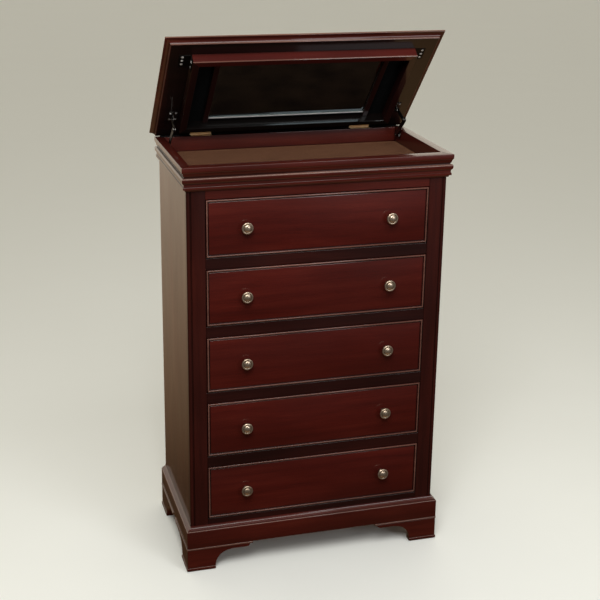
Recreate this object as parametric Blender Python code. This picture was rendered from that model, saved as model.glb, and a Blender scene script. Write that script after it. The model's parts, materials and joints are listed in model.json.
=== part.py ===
"""Lift-top jewellery chest: five drawers under a till whose lid carries a framed mirror.

Frame: metres, +Z up, the front faces -Y. The origin is on the floor, in the middle of the
chest's overall box with the lid open. Places along Y are given as a depth, measured
forward from the plane of the chest's back.
"""
import math

import bmesh
import bpy
from mathutils import Vector

# ---------------------------------------------------------------- driving dimensions
GAP = 0.0003                  # clearance between pieces that touch
CASE_WIDTH = 0.759
CASE_DEPTH = 0.414
HALF = CASE_WIDTH / 2
RIM_TOP = 1.230
RIM_OUT = 0.0135              # the rim's overhang beyond the case
TOP_FRAME_BOTTOM = 1.174
CASE_TOP = TOP_FRAME_BOTTOM - GAP
FILLET_BOTTOM = 1.162
PLINTH_TOP = 0.145
PLINTH_BOTTOM = 0.076
PLINTH_OUT = 0.0135
SIDE_THICKNESS = 0.018
POST_THICKNESS = 0.022
BACK_INSET = 0.004
BACK_THICKNESS = 0.006
BASE_BOARD_BOTTOM = 0.135     # board under the lowest drawer
BASE_BOARD_TOP = 0.150

DRAWER_COUNT = 5
OPENING_HALF = 0.327
OPENING_HEIGHT = 0.1685
DRAWER_PITCH = 0.2015
FIRST_OPENING_TOP = 1.137
DRAWER_CLEARANCE = 0.0018
DRAWER_BOX_HALF = 0.320
DRAWER_BOX_HEIGHT = 0.138
DRAWER_SIDE = 0.012
DRAWER_FLOOR = 0.008
DRAWER_BACK_DEPTH = 0.045
DRAWER_FRONT_BACK = 0.3945    # depth of the front's inner face
DRAWER_FIELD = 0.4138         # depth of the front's flat field
KNOB_X = 0.212

TILL_HALF = 0.366
TILL_BACK = 0.022
TILL_FRONT = 0.393
TILL_FLOOR_TOP = 0.0085 + TOP_FRAME_BOTTOM + GAP
LINING_THICKNESS = 0.003

LID_HALF = 0.406
LID_DEPTH = 0.437
LID_THICKNESS = 0.017
LID_GAP = 0.0008              # between the rim and the closed lid
LID_OPEN = math.radians(47.1)
LID_UNDERSIDE = RIM_TOP + LID_GAP
PIN_BEHIND = 0.0004           # hinge pin behind the back plane
PIN_HEIGHT = RIM_TOP + LID_GAP / 2

FRAME_HALF = 0.328            # box frame round the mirror
FRAME_REAR = 0.050
FRAME_FRONT = 0.380
FRAME_WIDTH = 0.020
FRAME_HEIGHT = 0.030
MIRROR_HALF = 0.242
MIRROR_REAR = 0.088
MIRROR_FRONT = 0.338

HINGE_X = 0.252
HINGE_WIDTH = 0.064
LEAF_THICKNESS = 0.0012
LEAF_DEPTH = 0.020
KNUCKLE_RADIUS = 0.0028
GROOVE_RADIUS = 0.0032         # of the groove let into the wood round the knuckles
HINGE_PIN_RADIUS = 0.0015
KNUCKLES = 5

# The overall box runs from the knobs to the open lid's rear top corner, and the origin
# is in its middle.
KNOB_LENGTH = 0.0238
FRONT_MOST = DRAWER_FIELD + GAP + KNOB_LENGTH
LID_TOP_ABOVE_PIN = LID_UNDERSIDE + LID_THICKNESS - PIN_HEIGHT
REAR_MOST = PIN_BEHIND * (1 - math.cos(LID_OPEN)) + LID_TOP_ABOVE_PIN * math.sin(LID_OPEN)
BACK_PLANE_Y = (FRONT_MOST - REAR_MOST) / 2

# The stay is a parallelogram: its case pivot stands off the hinge pin as its elbow
# stands off its lid pivot. Each pair is (forward of the pin, above the pin).
STAY_CASE_OFFSET = (0.048, -0.020)
STAY_LID_OFFSET = (0.096, -0.012)
EAR_PLANE = (0.3470, 0.3490)
LINK_PLANE = (0.3515, 0.3540)
ARM_PLANE = (0.3565, 0.3590)
PLATE_PLANE = (0.3642, 0.3657)
RIVET_RADIUS = 0.0022
RIVET_HOLE = 0.0026

FOOT_WIDTH = 0.203            # along the front, corner to tip
FOOT_THICKNESS = 0.022
FOOT_SOLE = 0.085             # width of the foot where it stands
SHOE_TOP = 0.011
FOOT_TOP = 0.0705
ROUND_STEPS = 16


# ---------------------------------------------------------------- scene and materials
def clear_scene():
    for old in list(bpy.data.objects):
        bpy.data.objects.remove(old, do_unlink=True)


def make_material(name, colour, roughness, metallic=0.0):
    material = bpy.data.materials.new(name)
    material.use_nodes = True
    shader = material.node_tree.nodes["Principled BSDF"]
    shader.inputs["Base Color"].default_value = (*colour, 1.0)
    shader.inputs["Roughness"].default_value = roughness
    shader.inputs["Metallic"].default_value = metallic
    return material


def make_materials():
    return {
        "mahogany": make_material("mahogany", (0.080, 0.014, 0.010), 0.25),
        "drawer_mahogany": make_material("drawer_mahogany", (0.105, 0.018, 0.012), 0.28),
        "drawer_wood": make_material("drawer_wood", (0.52, 0.36, 0.20), 0.55),
        "panel_board": make_material("panel_board", (0.16, 0.08, 0.045), 0.60),
        "felt": make_material("felt", (0.045, 0.020, 0.014), 0.95),
        "black_velvet": make_material("black_velvet", (0.010, 0.009, 0.009), 0.95),
        "mirror": make_material("mirror", (0.90, 0.91, 0.92), 0.03, 1.0),
        "brass": make_material("brass", (0.72, 0.42, 0.18), 0.30, 1.0),
        "steel": make_material("steel", (0.32, 0.31, 0.29), 0.38, 1.0),
        "pewter": make_material("pewter", (0.33, 0.28, 0.22), 0.30, 1.0),
    }


# ---------------------------------------------------------------- groups and objects
def place(x, depth, z):
    """World point from a depth measured forward from the back plane."""
    return Vector((x, BACK_PLANE_Y - depth, z))


def make_group(name, built_at, stands_at, turn=0.0):
    """Empty on a joint: its pieces are built round built_at and stand round stands_at."""
    empty = bpy.data.objects.new(name, None)
    bpy.context.collection.objects.link(empty)
    empty.location = stands_at
    empty.rotation_euler = (turn, 0.0, 0.0)
    empty["built_at"] = built_at
    return empty


def finish(name, bm, material, group=None, smooth_angle=None, bevel=0.0):
    """Turns a bmesh of closed solids into the named object."""
    if group is not None:
        bmesh.ops.translate(bm, verts=bm.verts, vec=-Vector(group["built_at"]))
    bmesh.ops.recalc_face_normals(bm, faces=bm.faces)
    mesh = bpy.data.meshes.new(name)
    bm.to_mesh(mesh)
    bm.free()
    mesh.materials.append(material)
    obj = bpy.data.objects.new(name, mesh)
    bpy.context.collection.objects.link(obj)
    obj.parent = group
    if bevel:
        modifier = obj.modifiers.new("soft_edges", "BEVEL")
        modifier.width = bevel
        modifier.segments = 1
        modifier.limit_method = "ANGLE"
        modifier.angle_limit = math.radians(50)
    if smooth_angle is not None:
        mesh.shade_smooth()
        mesh.set_sharp_from_angle(angle=math.radians(smooth_angle))
    return obj


def boolean(obj, operation, bm, group=None):
    """Cuts or joins the solids in bm, through a hidden helper object."""
    helper = finish(f"{obj.name}_{operation.lower()}", bm, obj.data.materials[0], group)
    helper.hide_render = True
    helper.display_type = "WIRE"
    modifier = obj.modifiers.new(operation.lower(), "BOOLEAN")
    modifier.operation = operation
    modifier.solver = "EXACT"
    modifier.object = helper


# ---------------------------------------------------------------- shape helpers
def board(bm, x, depth, z):
    """Square-edged board between the given limits."""
    cube = bmesh.ops.create_cube(bm, size=1.0)["verts"]
    low = place(x[0], depth[1], z[0])
    high = place(x[1], depth[0], z[1])
    bmesh.ops.scale(bm, verts=cube, vec=high - low)
    bmesh.ops.translate(bm, verts=cube, vec=(low + high) / 2)


def sweep(bm, outline, stations, caps=None):
    """Carries an outline through placed copies of itself and closes both ends."""
    rings = [[bm.verts.new(station(*point)) for point in outline] for station in stations]
    for cap in caps or [range(len(outline))]:
        bm.faces.new([rings[0][i] for i in cap])
        bm.faces.new([rings[-1][i] for i in reversed(cap)])
    join_rings(bm, rings)


def join_rings(bm, rings):
    for ring, following in zip(rings, rings[1:]):
        for i in range(len(ring)):
            j = (i + 1) % len(ring)
            bm.faces.new((ring[i], following[i], following[j], ring[j]))


def extrude_x(bm, outline, x):
    """Outline of (depth, z) points carried along X."""
    sweep(bm, outline, (lambda d, z: place(x[0], d, z), lambda d, z: place(x[1], d, z)))


def extrude_depth(bm, outline, depth):
    """Outline of (x, z) points carried from back to front."""
    sweep(bm, outline, (lambda x, z: place(x, depth[0], z), lambda x, z: place(x, depth[1], z)))


def extrude_up(bm, outline, z):
    """Outline of (x, depth) points carried upwards."""
    sweep(bm, outline, (lambda x, d: place(x, d, z[0]), lambda x, d: place(x, d, z[1])))


def arc(centre, radius, start, end, steps):
    """Points along an arc, with the angles in degrees."""
    points = []
    for i in range(steps + 1):
        angle = math.radians(start + (end - start) * i / steps)
        points.append((centre[0] + radius * math.cos(angle), centre[1] + radius * math.sin(angle)))
    return points


def circle(centre, radius, steps=ROUND_STEPS):
    return arc(centre, radius, 0, 360, steps)[:-1]


def stadium(first, second, radius, steps=7):
    """Outline of a link with round ends about its two pivots."""
    heading = math.degrees(math.atan2(second[1] - first[1], second[0] - first[0]))
    near = arc(first, radius, heading + 90, heading + 270, steps)
    far = arc(second, radius, heading - 90, heading + 90, steps)
    return near + far


def turned(bm, centre, axis, profile, steps=12):
    """Closed solid of (distance along the axis, radius) points turned about the axis."""
    along = Vector(axis)
    across = along.orthogonal().normalized()
    other = along.cross(across)
    rings = []
    for distance, radius in profile:
        ring = []
        for i in range(steps):
            angle = 2 * math.pi * i / steps
            spoke = across * math.cos(angle) + other * math.sin(angle)
            ring.append(bm.verts.new(centre + along * distance + spoke * radius))
        rings.append(ring)
    bm.faces.new(rings[0])
    bm.faces.new(reversed(rings[-1]))
    join_rings(bm, rings)


# ---------------------------------------------------------------- mouldings round the case
def moulding(bm, outline, where, caps=None, least_out=None):
    """Length of moulding from (out, z) points, mitred at the case's front corners.

    Points further in than least_out stay on that line, to butt against the side length.
    """
    def corner_x(out):
        reach = out if least_out is None else max(out, least_out)
        return HALF + reach - GAP

    if where == "front":
        stations = (
            lambda out, z: place(-corner_x(out), CASE_DEPTH + out, z),
            lambda out, z: place(corner_x(out), CASE_DEPTH + out, z),
        )
    else:
        side = -1 if where == "left" else 1
        stations = (
            lambda out, z: place(side * (HALF + out), 0.0, z),
            lambda out, z: place(side * (HALF + out), CASE_DEPTH + out - GAP, z),
        )
    sweep(bm, outline, stations, caps)


def rim_profile():
    """Outer face of the top frame, from the top down: rim, second member, and the fillet
    that hangs in front of the case."""
    rim = [(RIM_OUT - 0.0015, RIM_TOP), (RIM_OUT, RIM_TOP - 0.0015)]
    rim += arc((RIM_OUT - 0.0085, RIM_TOP - 0.0100), 0.0085, 0, -50, 3)
    rim += [(0.0080, RIM_TOP - 0.0250), (0.0060, RIM_TOP - 0.0258), (0.0060, RIM_TOP - 0.0290)]
    second = arc((0.0080, RIM_TOP - 0.0345), 0.0048, 70, 0, 3)
    second += arc((0.0028, RIM_TOP - 0.0380), 0.0100, 0, -60, 4)
    fillet = [(0.0078, TOP_FRAME_BOTTOM + 0.0015), (0.0095, TOP_FRAME_BOTTOM)]
    fillet += arc((0.0095, FILLET_BOTTOM), 0.0065, 90, 180, 3)
    rabbet = [(GAP, FILLET_BOTTOM), (GAP, TOP_FRAME_BOTTOM)]
    return rim + second + fillet + rabbet


def hinge_mortise(surface, into):
    """Side view of the recess for one leaf and for its half of the knuckles."""
    groove = PIN_HEIGHT + into * GROOVE_RADIUS
    groove_end = GROOVE_RADIUS - PIN_BEHIND
    floor = surface + into * (LEAF_THICKNESS + GAP)
    leaf_end = LEAF_DEPTH + GAP
    rear = -0.002
    clear = surface - into * 0.002
    outline = [(rear, groove), (groove_end, groove), (groove_end, floor)]
    return outline + [(leaf_end, floor), (leaf_end, clear), (rear, clear)]


def build_top_frame(mats):
    """Four rails that make the till's walls and carry the moulded rim."""
    side_in = TILL_HALF - HALF
    front_in = TILL_FRONT - CASE_DEPTH
    outer = rim_profile()
    for side in ("left", "right"):
        bm = bmesh.new()
        moulding(bm, [(side_in, RIM_TOP)] + outer + [(side_in, TOP_FRAME_BOTTOM)], side)
        finish(f"top_frame_{side}", bm, mats["mahogany"], smooth_angle=35)
    bm = bmesh.new()
    outline = [(front_in, RIM_TOP), (side_in, RIM_TOP)] + outer
    outline += [(side_in, TOP_FRAME_BOTTOM), (front_in, TOP_FRAME_BOTTOM)]
    count = len(outline)
    caps = [list(range(1, count - 1)), [0, 1, count - 2, count - 1]]
    moulding(bm, outline, "front", caps=caps, least_out=side_in)
    finish("top_frame_front", bm, mats["mahogany"], smooth_angle=35)
    bm = bmesh.new()
    board(bm, (-TILL_HALF + GAP, TILL_HALF - GAP), (0.0, TILL_BACK), (TOP_FRAME_BOTTOM, RIM_TOP))
    rear = finish("top_frame_back", bm, mats["mahogany"])
    bm = bmesh.new()
    for side in (-1, 1):
        reach = HINGE_WIDTH / 2 + GAP
        limits = (side * HINGE_X - reach, side * HINGE_X + reach)
        extrude_x(bm, hinge_mortise(RIM_TOP, -1), limits)
    boolean(rear, "DIFFERENCE", bm)


def build_plinth(mats):
    """Skirting with a hollow and two steps along its top edge."""
    outline = [(GAP, PLINTH_BOTTOM), (PLINTH_OUT - 0.001, PLINTH_BOTTOM)]
    outline += [(PLINTH_OUT, PLINTH_BOTTOM + 0.001), (PLINTH_OUT, PLINTH_TOP - 0.0155)]
    outline += [(PLINTH_OUT - 0.0015, PLINTH_TOP - 0.0130), (0.0105, PLINTH_TOP - 0.0130)]
    outline += [(0.0105, PLINTH_TOP - 0.0100)]
    outline += arc((0.0100, PLINTH_TOP), 0.0095, 270, 180, 4)[1:]
    outline += [(GAP, PLINTH_TOP)]
    bm = bmesh.new()
    sweep(bm, outline, (
        lambda out, z: place(-HALF - out, 0.0, z),
        lambda out, z: place(-HALF - out, CASE_DEPTH + out, z),
        lambda out, z: place(HALF + out, CASE_DEPTH + out, z),
        lambda out, z: place(HALF + out, 0.0, z),
    ))
    finish("plinth", bm, mats["mahogany"], smooth_angle=35)


# ---------------------------------------------------------------- case
def build_case_panels(mats):
    for side, name in ((-1, "left"), (1, "right")):
        bm = bmesh.new()
        limits = sorted((side * (HALF - SIDE_THICKNESS), side * HALF))
        board(bm, limits, (0.0, CASE_DEPTH - POST_THICKNESS - GAP), (PLINTH_BOTTOM + GAP, CASE_TOP))
        finish(f"side_panel_{name}", bm, mats["mahogany"])
    inner = HALF - SIDE_THICKNESS - GAP
    bm = bmesh.new()
    board(bm, (-inner, inner), (BACK_INSET, BACK_INSET + BACK_THICKNESS), (PLINTH_BOTTOM + GAP, CASE_TOP))
    finish("back_panel", bm, mats["panel_board"])


def build_front_frame(mats):
    """Posts beaded down the outer corner, rails, and the base board with its glued rail."""
    bead = 0.006
    face = CASE_DEPTH
    back = CASE_DEPTH - POST_THICKNESS
    quirk = HALF - 2 * bead
    for side, name in ((-1, "left"), (1, "right")):
        outline = [(OPENING_HALF, back), (OPENING_HALF, face), (quirk - 0.002, face)]
        outline += [(quirk - 0.001, face - 0.0025)]
        outline += arc((HALF - bead, face - bead), bead, 150, 0, 8)
        outline += [(HALF, back)]
        bm = bmesh.new()
        extrude_up(bm, [(side * x, d) for x, d in outline], (PLINTH_BOTTOM + GAP, CASE_TOP))
        finish(f"front_post_{name}", bm, mats["mahogany"], smooth_angle=35)
    reach = OPENING_HALF - GAP
    opening_tops = [FIRST_OPENING_TOP - i * DRAWER_PITCH for i in range(DRAWER_COUNT)]
    bm = bmesh.new()
    board(bm, (-reach, reach), (back, face), (FIRST_OPENING_TOP, CASE_TOP))
    finish("top_rail", bm, mats["mahogany"])
    for number, top in enumerate(opening_tops[1:], start=1):
        bm = bmesh.new()
        board(bm, (-reach, reach), (back, face), (top, top + DRAWER_PITCH - OPENING_HEIGHT))
        finish(f"drawer_rail_{number}", bm, mats["mahogany"], bevel=0.0006)
    bm = bmesh.new()
    board(bm, (-reach, reach), (back, face), (PLINTH_BOTTOM + GAP, opening_tops[-1] - OPENING_HEIGHT))
    base = finish("base_board", bm, mats["mahogany"])
    bm = bmesh.new()
    inner = HALF - SIDE_THICKNESS - GAP
    behind = BACK_INSET + BACK_THICKNESS + GAP
    tongue = reach - 0.001
    outline = [(-inner, behind), (inner, behind), (inner, back - GAP), (tongue, back - GAP)]
    outline += [(tongue, back + 0.004), (-tongue, back + 0.004), (-tongue, back - GAP)]
    outline += [(-inner, back - GAP)]
    extrude_up(bm, outline, (BASE_BOARD_BOTTOM, BASE_BOARD_TOP))
    boolean(base, "UNION", bm)


def build_runner_frames(mats):
    """Upright at the back of each side, with a bearer and a guide for every drawer."""
    wall = HALF - SIDE_THICKNESS - GAP
    guide = DRAWER_BOX_HALF + 0.0012
    back = BACK_INSET + BACK_THICKNESS + GAP
    front = CASE_DEPTH - POST_THICKNESS - GAP
    for side, name in ((-1, "left"), (1, "right")):
        uprights = bmesh.new()
        strips = bmesh.new()
        x = sorted((side * (guide + 0.002), side * wall))
        board(uprights, x, (back, back + 0.024), (BASE_BOARD_TOP + GAP, CASE_TOP - 0.010))
        for i in range(DRAWER_COUNT):
            bearer = FIRST_OPENING_TOP - i * DRAWER_PITCH - OPENING_HEIGHT + 0.0005
            outline = [(0.300, bearer - 0.010), (wall - 0.001, bearer - 0.010)]
            outline += [(wall - 0.001, bearer + 0.014), (guide, bearer + 0.014)]
            outline += [(guide, bearer), (0.300, bearer)]
            extrude_depth(strips, [(side * x, z) for x, z in outline], (back + 0.002, front))
        frame = finish(f"runner_frame_{name}", uprights, mats["drawer_wood"])
        boolean(frame, "UNION", strips)


def build_till(mats):
    x = (-TILL_HALF + GAP, TILL_HALF - GAP)
    depth = (TILL_BACK + GAP, TILL_FRONT - GAP)
    bm = bmesh.new()
    board(bm, x, depth, (TOP_FRAME_BOTTOM + GAP, TILL_FLOOR_TOP))
    finish("till_floor", bm, mats["panel_board"])
    bm = bmesh.new()
    base = TILL_FLOOR_TOP + GAP
    board(bm, x, depth, (base, base + LINING_THICKNESS))
    finish("till_lining", bm, mats["felt"])


# ---------------------------------------------------------------- feet
def foot_outline(width):
    """Bracket foot seen from the front, as (distance from the corner, z) points."""
    hollow = 0.048
    crest = FOOT_TOP - 0.010
    outline = [(0.0, SHOE_TOP), (FOOT_SOLE, SHOE_TOP)]
    outline += arc((FOOT_SOLE + hollow, SHOE_TOP), hollow, 180, 97, 7)[1:]
    outline += [(FOOT_SOLE + hollow + 0.006, crest), (width - 0.022, crest)]
    outline += arc((width - 0.022, FOOT_TOP), 0.010, 270, 360, 3)[1:]
    return outline + [(0.0, FOOT_TOP)]


def foot_board(bm, profile, side, along):
    """Bracket-shaped board of a foot, running from the corner along the front or the side."""
    outer = PLINTH_OUT
    inner = PLINTH_OUT - FOOT_THICKNESS

    def station(out):
        if along == "front":
            return lambda run, z: place(side * (HALF + outer - run), CASE_DEPTH + out, z)
        if along == "side":
            return lambda run, z: place(side * (HALF + out), CASE_DEPTH + outer - run, z)
        return lambda run, z: place(side * (HALF + out), run, z)

    sweep(bm, profile, (station(outer), station(inner)))


def corner_strip(bm, z, proud, width, side):
    """Square strip round a front corner of the base, of the given reach each way."""
    outline = [(PLINTH_OUT + proud, z[0]), (PLINTH_OUT + proud, z[1])]
    outline += [(PLINTH_OUT - FOOT_THICKNESS, z[1]), (PLINTH_OUT - FOOT_THICKNESS, z[0])]
    reach = HALF + PLINTH_OUT - width
    front = CASE_DEPTH + PLINTH_OUT - width
    sweep(bm, outline, (
        lambda out, z: place(side * reach, CASE_DEPTH + out, z),
        lambda out, z: place(side * (HALF + out), CASE_DEPTH + out, z),
        lambda out, z: place(side * (HALF + out), front, z),
    ))


def side_strip(bm, z, proud, width, side):
    """The same strip at the back end of a side, where there is no corner to turn."""
    x = sorted((side * (HALF + PLINTH_OUT + proud), side * (HALF + PLINTH_OUT - FOOT_THICKNESS)))
    board(bm, x, (0.0, width), z)


def build_feet(mats):
    """Each foot is a bracket glued up with its bead, its shoe and its glue block or brace."""
    profile = foot_outline(FOOT_WIDTH)
    inner = HALF + PLINTH_OUT - FOOT_THICKNESS
    sink = 0.0005
    bead = (FOOT_TOP - sink, PLINTH_BOTTOM - GAP)
    shoe = (0.0, SHOE_TOP + sink)
    bead_width = FOOT_WIDTH - 0.004
    for side, name in ((-1, "left"), (1, "right")):
        bm = bmesh.new()
        foot_board(bm, profile, side, "front")
        foot = finish(f"foot_front_{name}", bm, mats["mahogany"])
        bm = bmesh.new()
        foot_board(bm, profile, side, "side")
        boolean(foot, "UNION", bm)
        for z, proud, width in ((bead, 0.0014, bead_width), (shoe, 0.0020, FOOT_SOLE)):
            bm = bmesh.new()
            corner_strip(bm, z, proud, width, side)
            boolean(foot, "UNION", bm)
        bm = bmesh.new()
        front = CASE_DEPTH + PLINTH_OUT - FOOT_THICKNESS + sink
        block = sorted((side * (inner - 0.036), side * (inner + sink)))
        board(bm, block, (front - 0.036, front), (SHOE_TOP, PLINTH_BOTTOM - 2 * GAP))
        boolean(foot, "UNION", bm)

        bm = bmesh.new()
        foot_board(bm, profile, side, "rear")
        foot = finish(f"foot_rear_{name}", bm, mats["mahogany"])
        for z, proud, width in ((bead, 0.0014, bead_width), (shoe, 0.0020, FOOT_SOLE)):
            bm = bmesh.new()
            side_strip(bm, z, proud, width, side)
            boolean(foot, "UNION", bm)
        bm = bmesh.new()
        brace = sorted((side * (inner - 0.060), side * (inner + sink)))
        board(bm, brace, (0.001, 0.019), (0.001, PLINTH_BOTTOM - 2 * GAP))
        boolean(foot, "UNION", bm)


# ---------------------------------------------------------------- drawers
def drawer_front(bm, half, low, high):
    """Front board with a raised bead round its edge and a quirk inside the bead."""
    steps = [(0.0, DRAWER_FRONT_BACK), (0.0, 0.4130)]
    steps += [(0.0025 - dx, 0.4136 + dz) for dx, dz in arc((0.0, 0.0), 0.0025, 0, 180, 4)]
    steps += [(0.0056, 0.4122), (0.0070, 0.4122), (0.0078, DRAWER_FIELD)]
    rings = []
    for inset, depth in steps:
        corners = [(-half + inset, low + inset), (half - inset, low + inset)]
        corners += [(half - inset, high - inset), (-half + inset, high - inset)]
        rings.append([bm.verts.new(place(x, depth, z)) for x, z in corners])
    bm.faces.new(rings[0])
    bm.faces.new(rings[-1])
    for ring, following in zip(rings, rings[1:]):
        for i in range(4):
            j = (i + 1) % 4
            bm.faces.new((ring[i], ring[j], following[j], following[i]))


def knob_solid(bm, x, z):
    """Mushroom knob with a rose, a neck and a ringed, domed head."""
    profile = [(0.0, 0.0085), (0.0018, 0.0085), (0.0045, 0.0050), (0.0095, 0.0052)]
    profile += [(0.0135, 0.0135), (0.0170, 0.0168), (0.0200, 0.0158), (0.0208, 0.0135)]
    profile += [(0.0194, 0.0112), (0.0222, 0.0085), (KNOB_LENGTH, 0.0045)]
    turned(bm, place(x, DRAWER_FIELD + GAP, z), (0.0, -1.0, 0.0), profile, steps=14)


def build_drawer(number, mats):
    opening_top = FIRST_OPENING_TOP - (number - 1) * DRAWER_PITCH
    opening_bottom = opening_top - OPENING_HEIGHT
    middle = (opening_top + opening_bottom) / 2
    home = place(0.0, CASE_DEPTH, middle)
    group = make_group(f"drawer_{number}_slide", home, home)
    name = f"drawer_{number}"

    bm = bmesh.new()
    low = opening_bottom + DRAWER_CLEARANCE
    high = opening_top - DRAWER_CLEARANCE
    drawer_front(bm, OPENING_HALF - DRAWER_CLEARANCE, low, high)
    finish(f"{name}_front", bm, mats["drawer_mahogany"], group, smooth_angle=50)

    box_low = opening_bottom + 0.0010
    box_high = box_low + DRAWER_BOX_HEIGHT
    front = DRAWER_FRONT_BACK - GAP
    inner = DRAWER_BOX_HALF - DRAWER_SIDE
    bm = bmesh.new()
    board(bm, (-DRAWER_BOX_HALF, DRAWER_BOX_HALF), (DRAWER_BACK_DEPTH, front), (box_low, box_high))
    box = finish(f"{name}_box", bm, mats["drawer_wood"], group)
    bm = bmesh.new()
    hollow = (DRAWER_BACK_DEPTH + DRAWER_SIDE, front - DRAWER_SIDE)
    board(bm, (-inner, inner), hollow, (box_low + DRAWER_FLOOR, box_high + 0.01))
    boolean(box, "DIFFERENCE", bm, group)

    for side, hand in ((-1, "left"), (1, "right")):
        bm = bmesh.new()
        knob_solid(bm, side * KNOB_X, middle)
        finish(f"{name}_knob_{hand}", bm, mats["pewter"], group, smooth_angle=40)


# ---------------------------------------------------------------- lid and mirror
def lid_panel_solid(bm):
    """Panel with a moulded edge on its front and sides, and a square edge at the back."""
    steps = [(0.0175, 0.0), (0.0160, 0.0008), (0.0160, 0.0025)]
    steps += [(0.0020 + 0.0130 * math.cos(math.radians(a)), 0.0115 - 0.0085 * math.sin(math.radians(a)))
              for a in (75, 50, 25, 5)]
    steps += [(0.0, 0.0122), (0.0, 0.0152), (0.0018, LID_THICKNESS)]
    left = []
    right = []
    for inset, up in steps:
        z = LID_UNDERSIDE + up
        reach = LID_HALF - inset
        front = LID_DEPTH - inset
        left.append([bm.verts.new(place(-reach, d, z)) for d in (0.0, front)])
        right.append([bm.verts.new(place(reach, d, z)) for d in (0.0, front)])
    for i in range(len(steps) - 1):
        bm.faces.new((left[i][0], left[i][1], left[i + 1][1], left[i + 1][0]))
        bm.faces.new((left[i][1], right[i][1], right[i + 1][1], left[i + 1][1]))
        bm.faces.new((right[i][1], right[i][0], right[i + 1][0], right[i + 1][1]))
    for end in (0, -1):
        bm.faces.new((left[end][0], left[end][1], right[end][1], right[end][0]))
    bm.faces.new([pair[0] for pair in left] + [pair[0] for pair in reversed(right)])


def build_lid(group, mats):
    bm = bmesh.new()
    lid_panel_solid(bm)
    panel = finish("lid_panel", bm, mats["mahogany"], group, smooth_angle=35)
    bm = bmesh.new()
    for side in (-1, 1):
        reach = HINGE_WIDTH / 2 + GAP
        limits = (side * HINGE_X - reach, side * HINGE_X + reach)
        extrude_x(bm, hinge_mortise(LID_UNDERSIDE, 1), limits)
    boolean(panel, "DIFFERENCE", bm, group)


def build_mirror(group, mats):
    """Box frame, velvet-covered board and glass under the lid, each against the next."""
    under = LID_UNDERSIDE - GAP
    depth = (FRAME_REAR, FRAME_FRONT)
    bm = bmesh.new()
    board(bm, (-FRAME_HALF, FRAME_HALF), depth, (under - FRAME_HEIGHT, under))
    frame = finish("mirror_frame", bm, mats["mahogany"], group)
    inner = FRAME_HALF - FRAME_WIDTH
    inner_depth = (FRAME_REAR + FRAME_WIDTH, FRAME_FRONT - FRAME_WIDTH)
    bm = bmesh.new()
    board(bm, (-inner, inner), inner_depth, (under - FRAME_HEIGHT - 0.01, under + 0.01))
    boolean(frame, "DIFFERENCE", bm, group)
    board_low = under - 0.0020
    bm = bmesh.new()
    fitted = (inner_depth[0] + GAP, inner_depth[1] - GAP)
    board(bm, (-inner + GAP, inner - GAP), fitted, (board_low, under))
    finish("mirror_backing", bm, mats["black_velvet"], group)
    glass = (board_low - GAP - 0.003, board_low - GAP)
    bm = bmesh.new()
    board(bm, (-MIRROR_HALF, MIRROR_HALF), (MIRROR_REAR, MIRROR_FRONT), glass)
    finish("mirror_glass", bm, mats["mirror"], group, bevel=0.0006)


# ---------------------------------------------------------------- hinges
def knuckle_bounds(index):
    length = HINGE_WIDTH / KNUCKLES
    start = -HINGE_WIDTH / 2 + index * length
    return start + GAP / 2, start + length - GAP / 2


def build_leaf(name, owner, centre, material, group):
    """Plate with its knuckles; the case leaf also carries the pin."""
    below = owner == "case"
    surface = RIM_TOP if below else LID_UNDERSIDE
    far = surface - LEAF_THICKNESS if below else surface + LEAF_THICKNESS
    pin_line = (-PIN_BEHIND, PIN_HEIGHT)
    bm = bmesh.new()
    plate = (centre - HINGE_WIDTH / 2, centre + HINGE_WIDTH / 2)
    board(bm, plate, (GROOVE_RADIUS - PIN_BEHIND, LEAF_DEPTH), sorted((surface, far)))
    leaf = finish(name, bm, material, group)
    owned = [index for index in range(KNUCKLES) if (index % 2 == 0) == below]
    bounds = [[centre + end for end in knuckle_bounds(index)] for index in owned]
    tongues = bmesh.new()
    for limits in bounds:
        board(tongues, limits, (-PIN_BEHIND, 0.004), sorted((surface, far)))
    boolean(leaf, "UNION", tongues, group)
    barrels = bmesh.new()
    for limits in bounds:
        extrude_x(barrels, circle(pin_line, KNUCKLE_RADIUS), limits)
    boolean(leaf, "UNION", barrels, group)
    bore = bmesh.new()
    beyond = HINGE_WIDTH / 2 + 0.004
    if below:
        extrude_x(bore, circle(pin_line, HINGE_PIN_RADIUS), (plate[0] + 0.002, plate[1] - 0.002))
        boolean(leaf, "UNION", bore, group)
    else:
        bore_radius = HINGE_PIN_RADIUS + GAP
        extrude_x(bore, circle(pin_line, bore_radius), (centre - beyond, centre + beyond))
        boolean(leaf, "DIFFERENCE", bore, group)


def build_hinges(group, mats):
    for side, hand in ((-1, "left"), (1, "right")):
        centre = side * HINGE_X
        build_leaf(f"hinge_{hand}_case_leaf", "case", centre, mats["brass"], None)
        build_leaf(f"hinge_{hand}_lid_leaf", "lid", centre, mats["brass"], group)


# ---------------------------------------------------------------- lid stays
def pin_point(offset):
    """Depth and height of a point given forward of and above the hinge pin."""
    return offset[0] - PIN_BEHIND, PIN_HEIGHT + offset[1]


def pivot_hole(obj, centre, plane, side, group):
    bm = bmesh.new()
    limits = (side * (plane[0] - 0.001), side * (plane[1] + 0.001))
    extrude_x(bm, circle(centre, RIVET_HOLE), limits)
    boolean(obj, "DIFFERENCE", bm, group)


def rivet(obj, centre, profile, side, group):
    """Rivet from (x, radius) points, made one with the piece that carries it."""
    bm = bmesh.new()
    turned(bm, place(0.0, *centre), (side, 0.0, 0.0), profile)
    boolean(obj, "UNION", bm, group)


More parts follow.
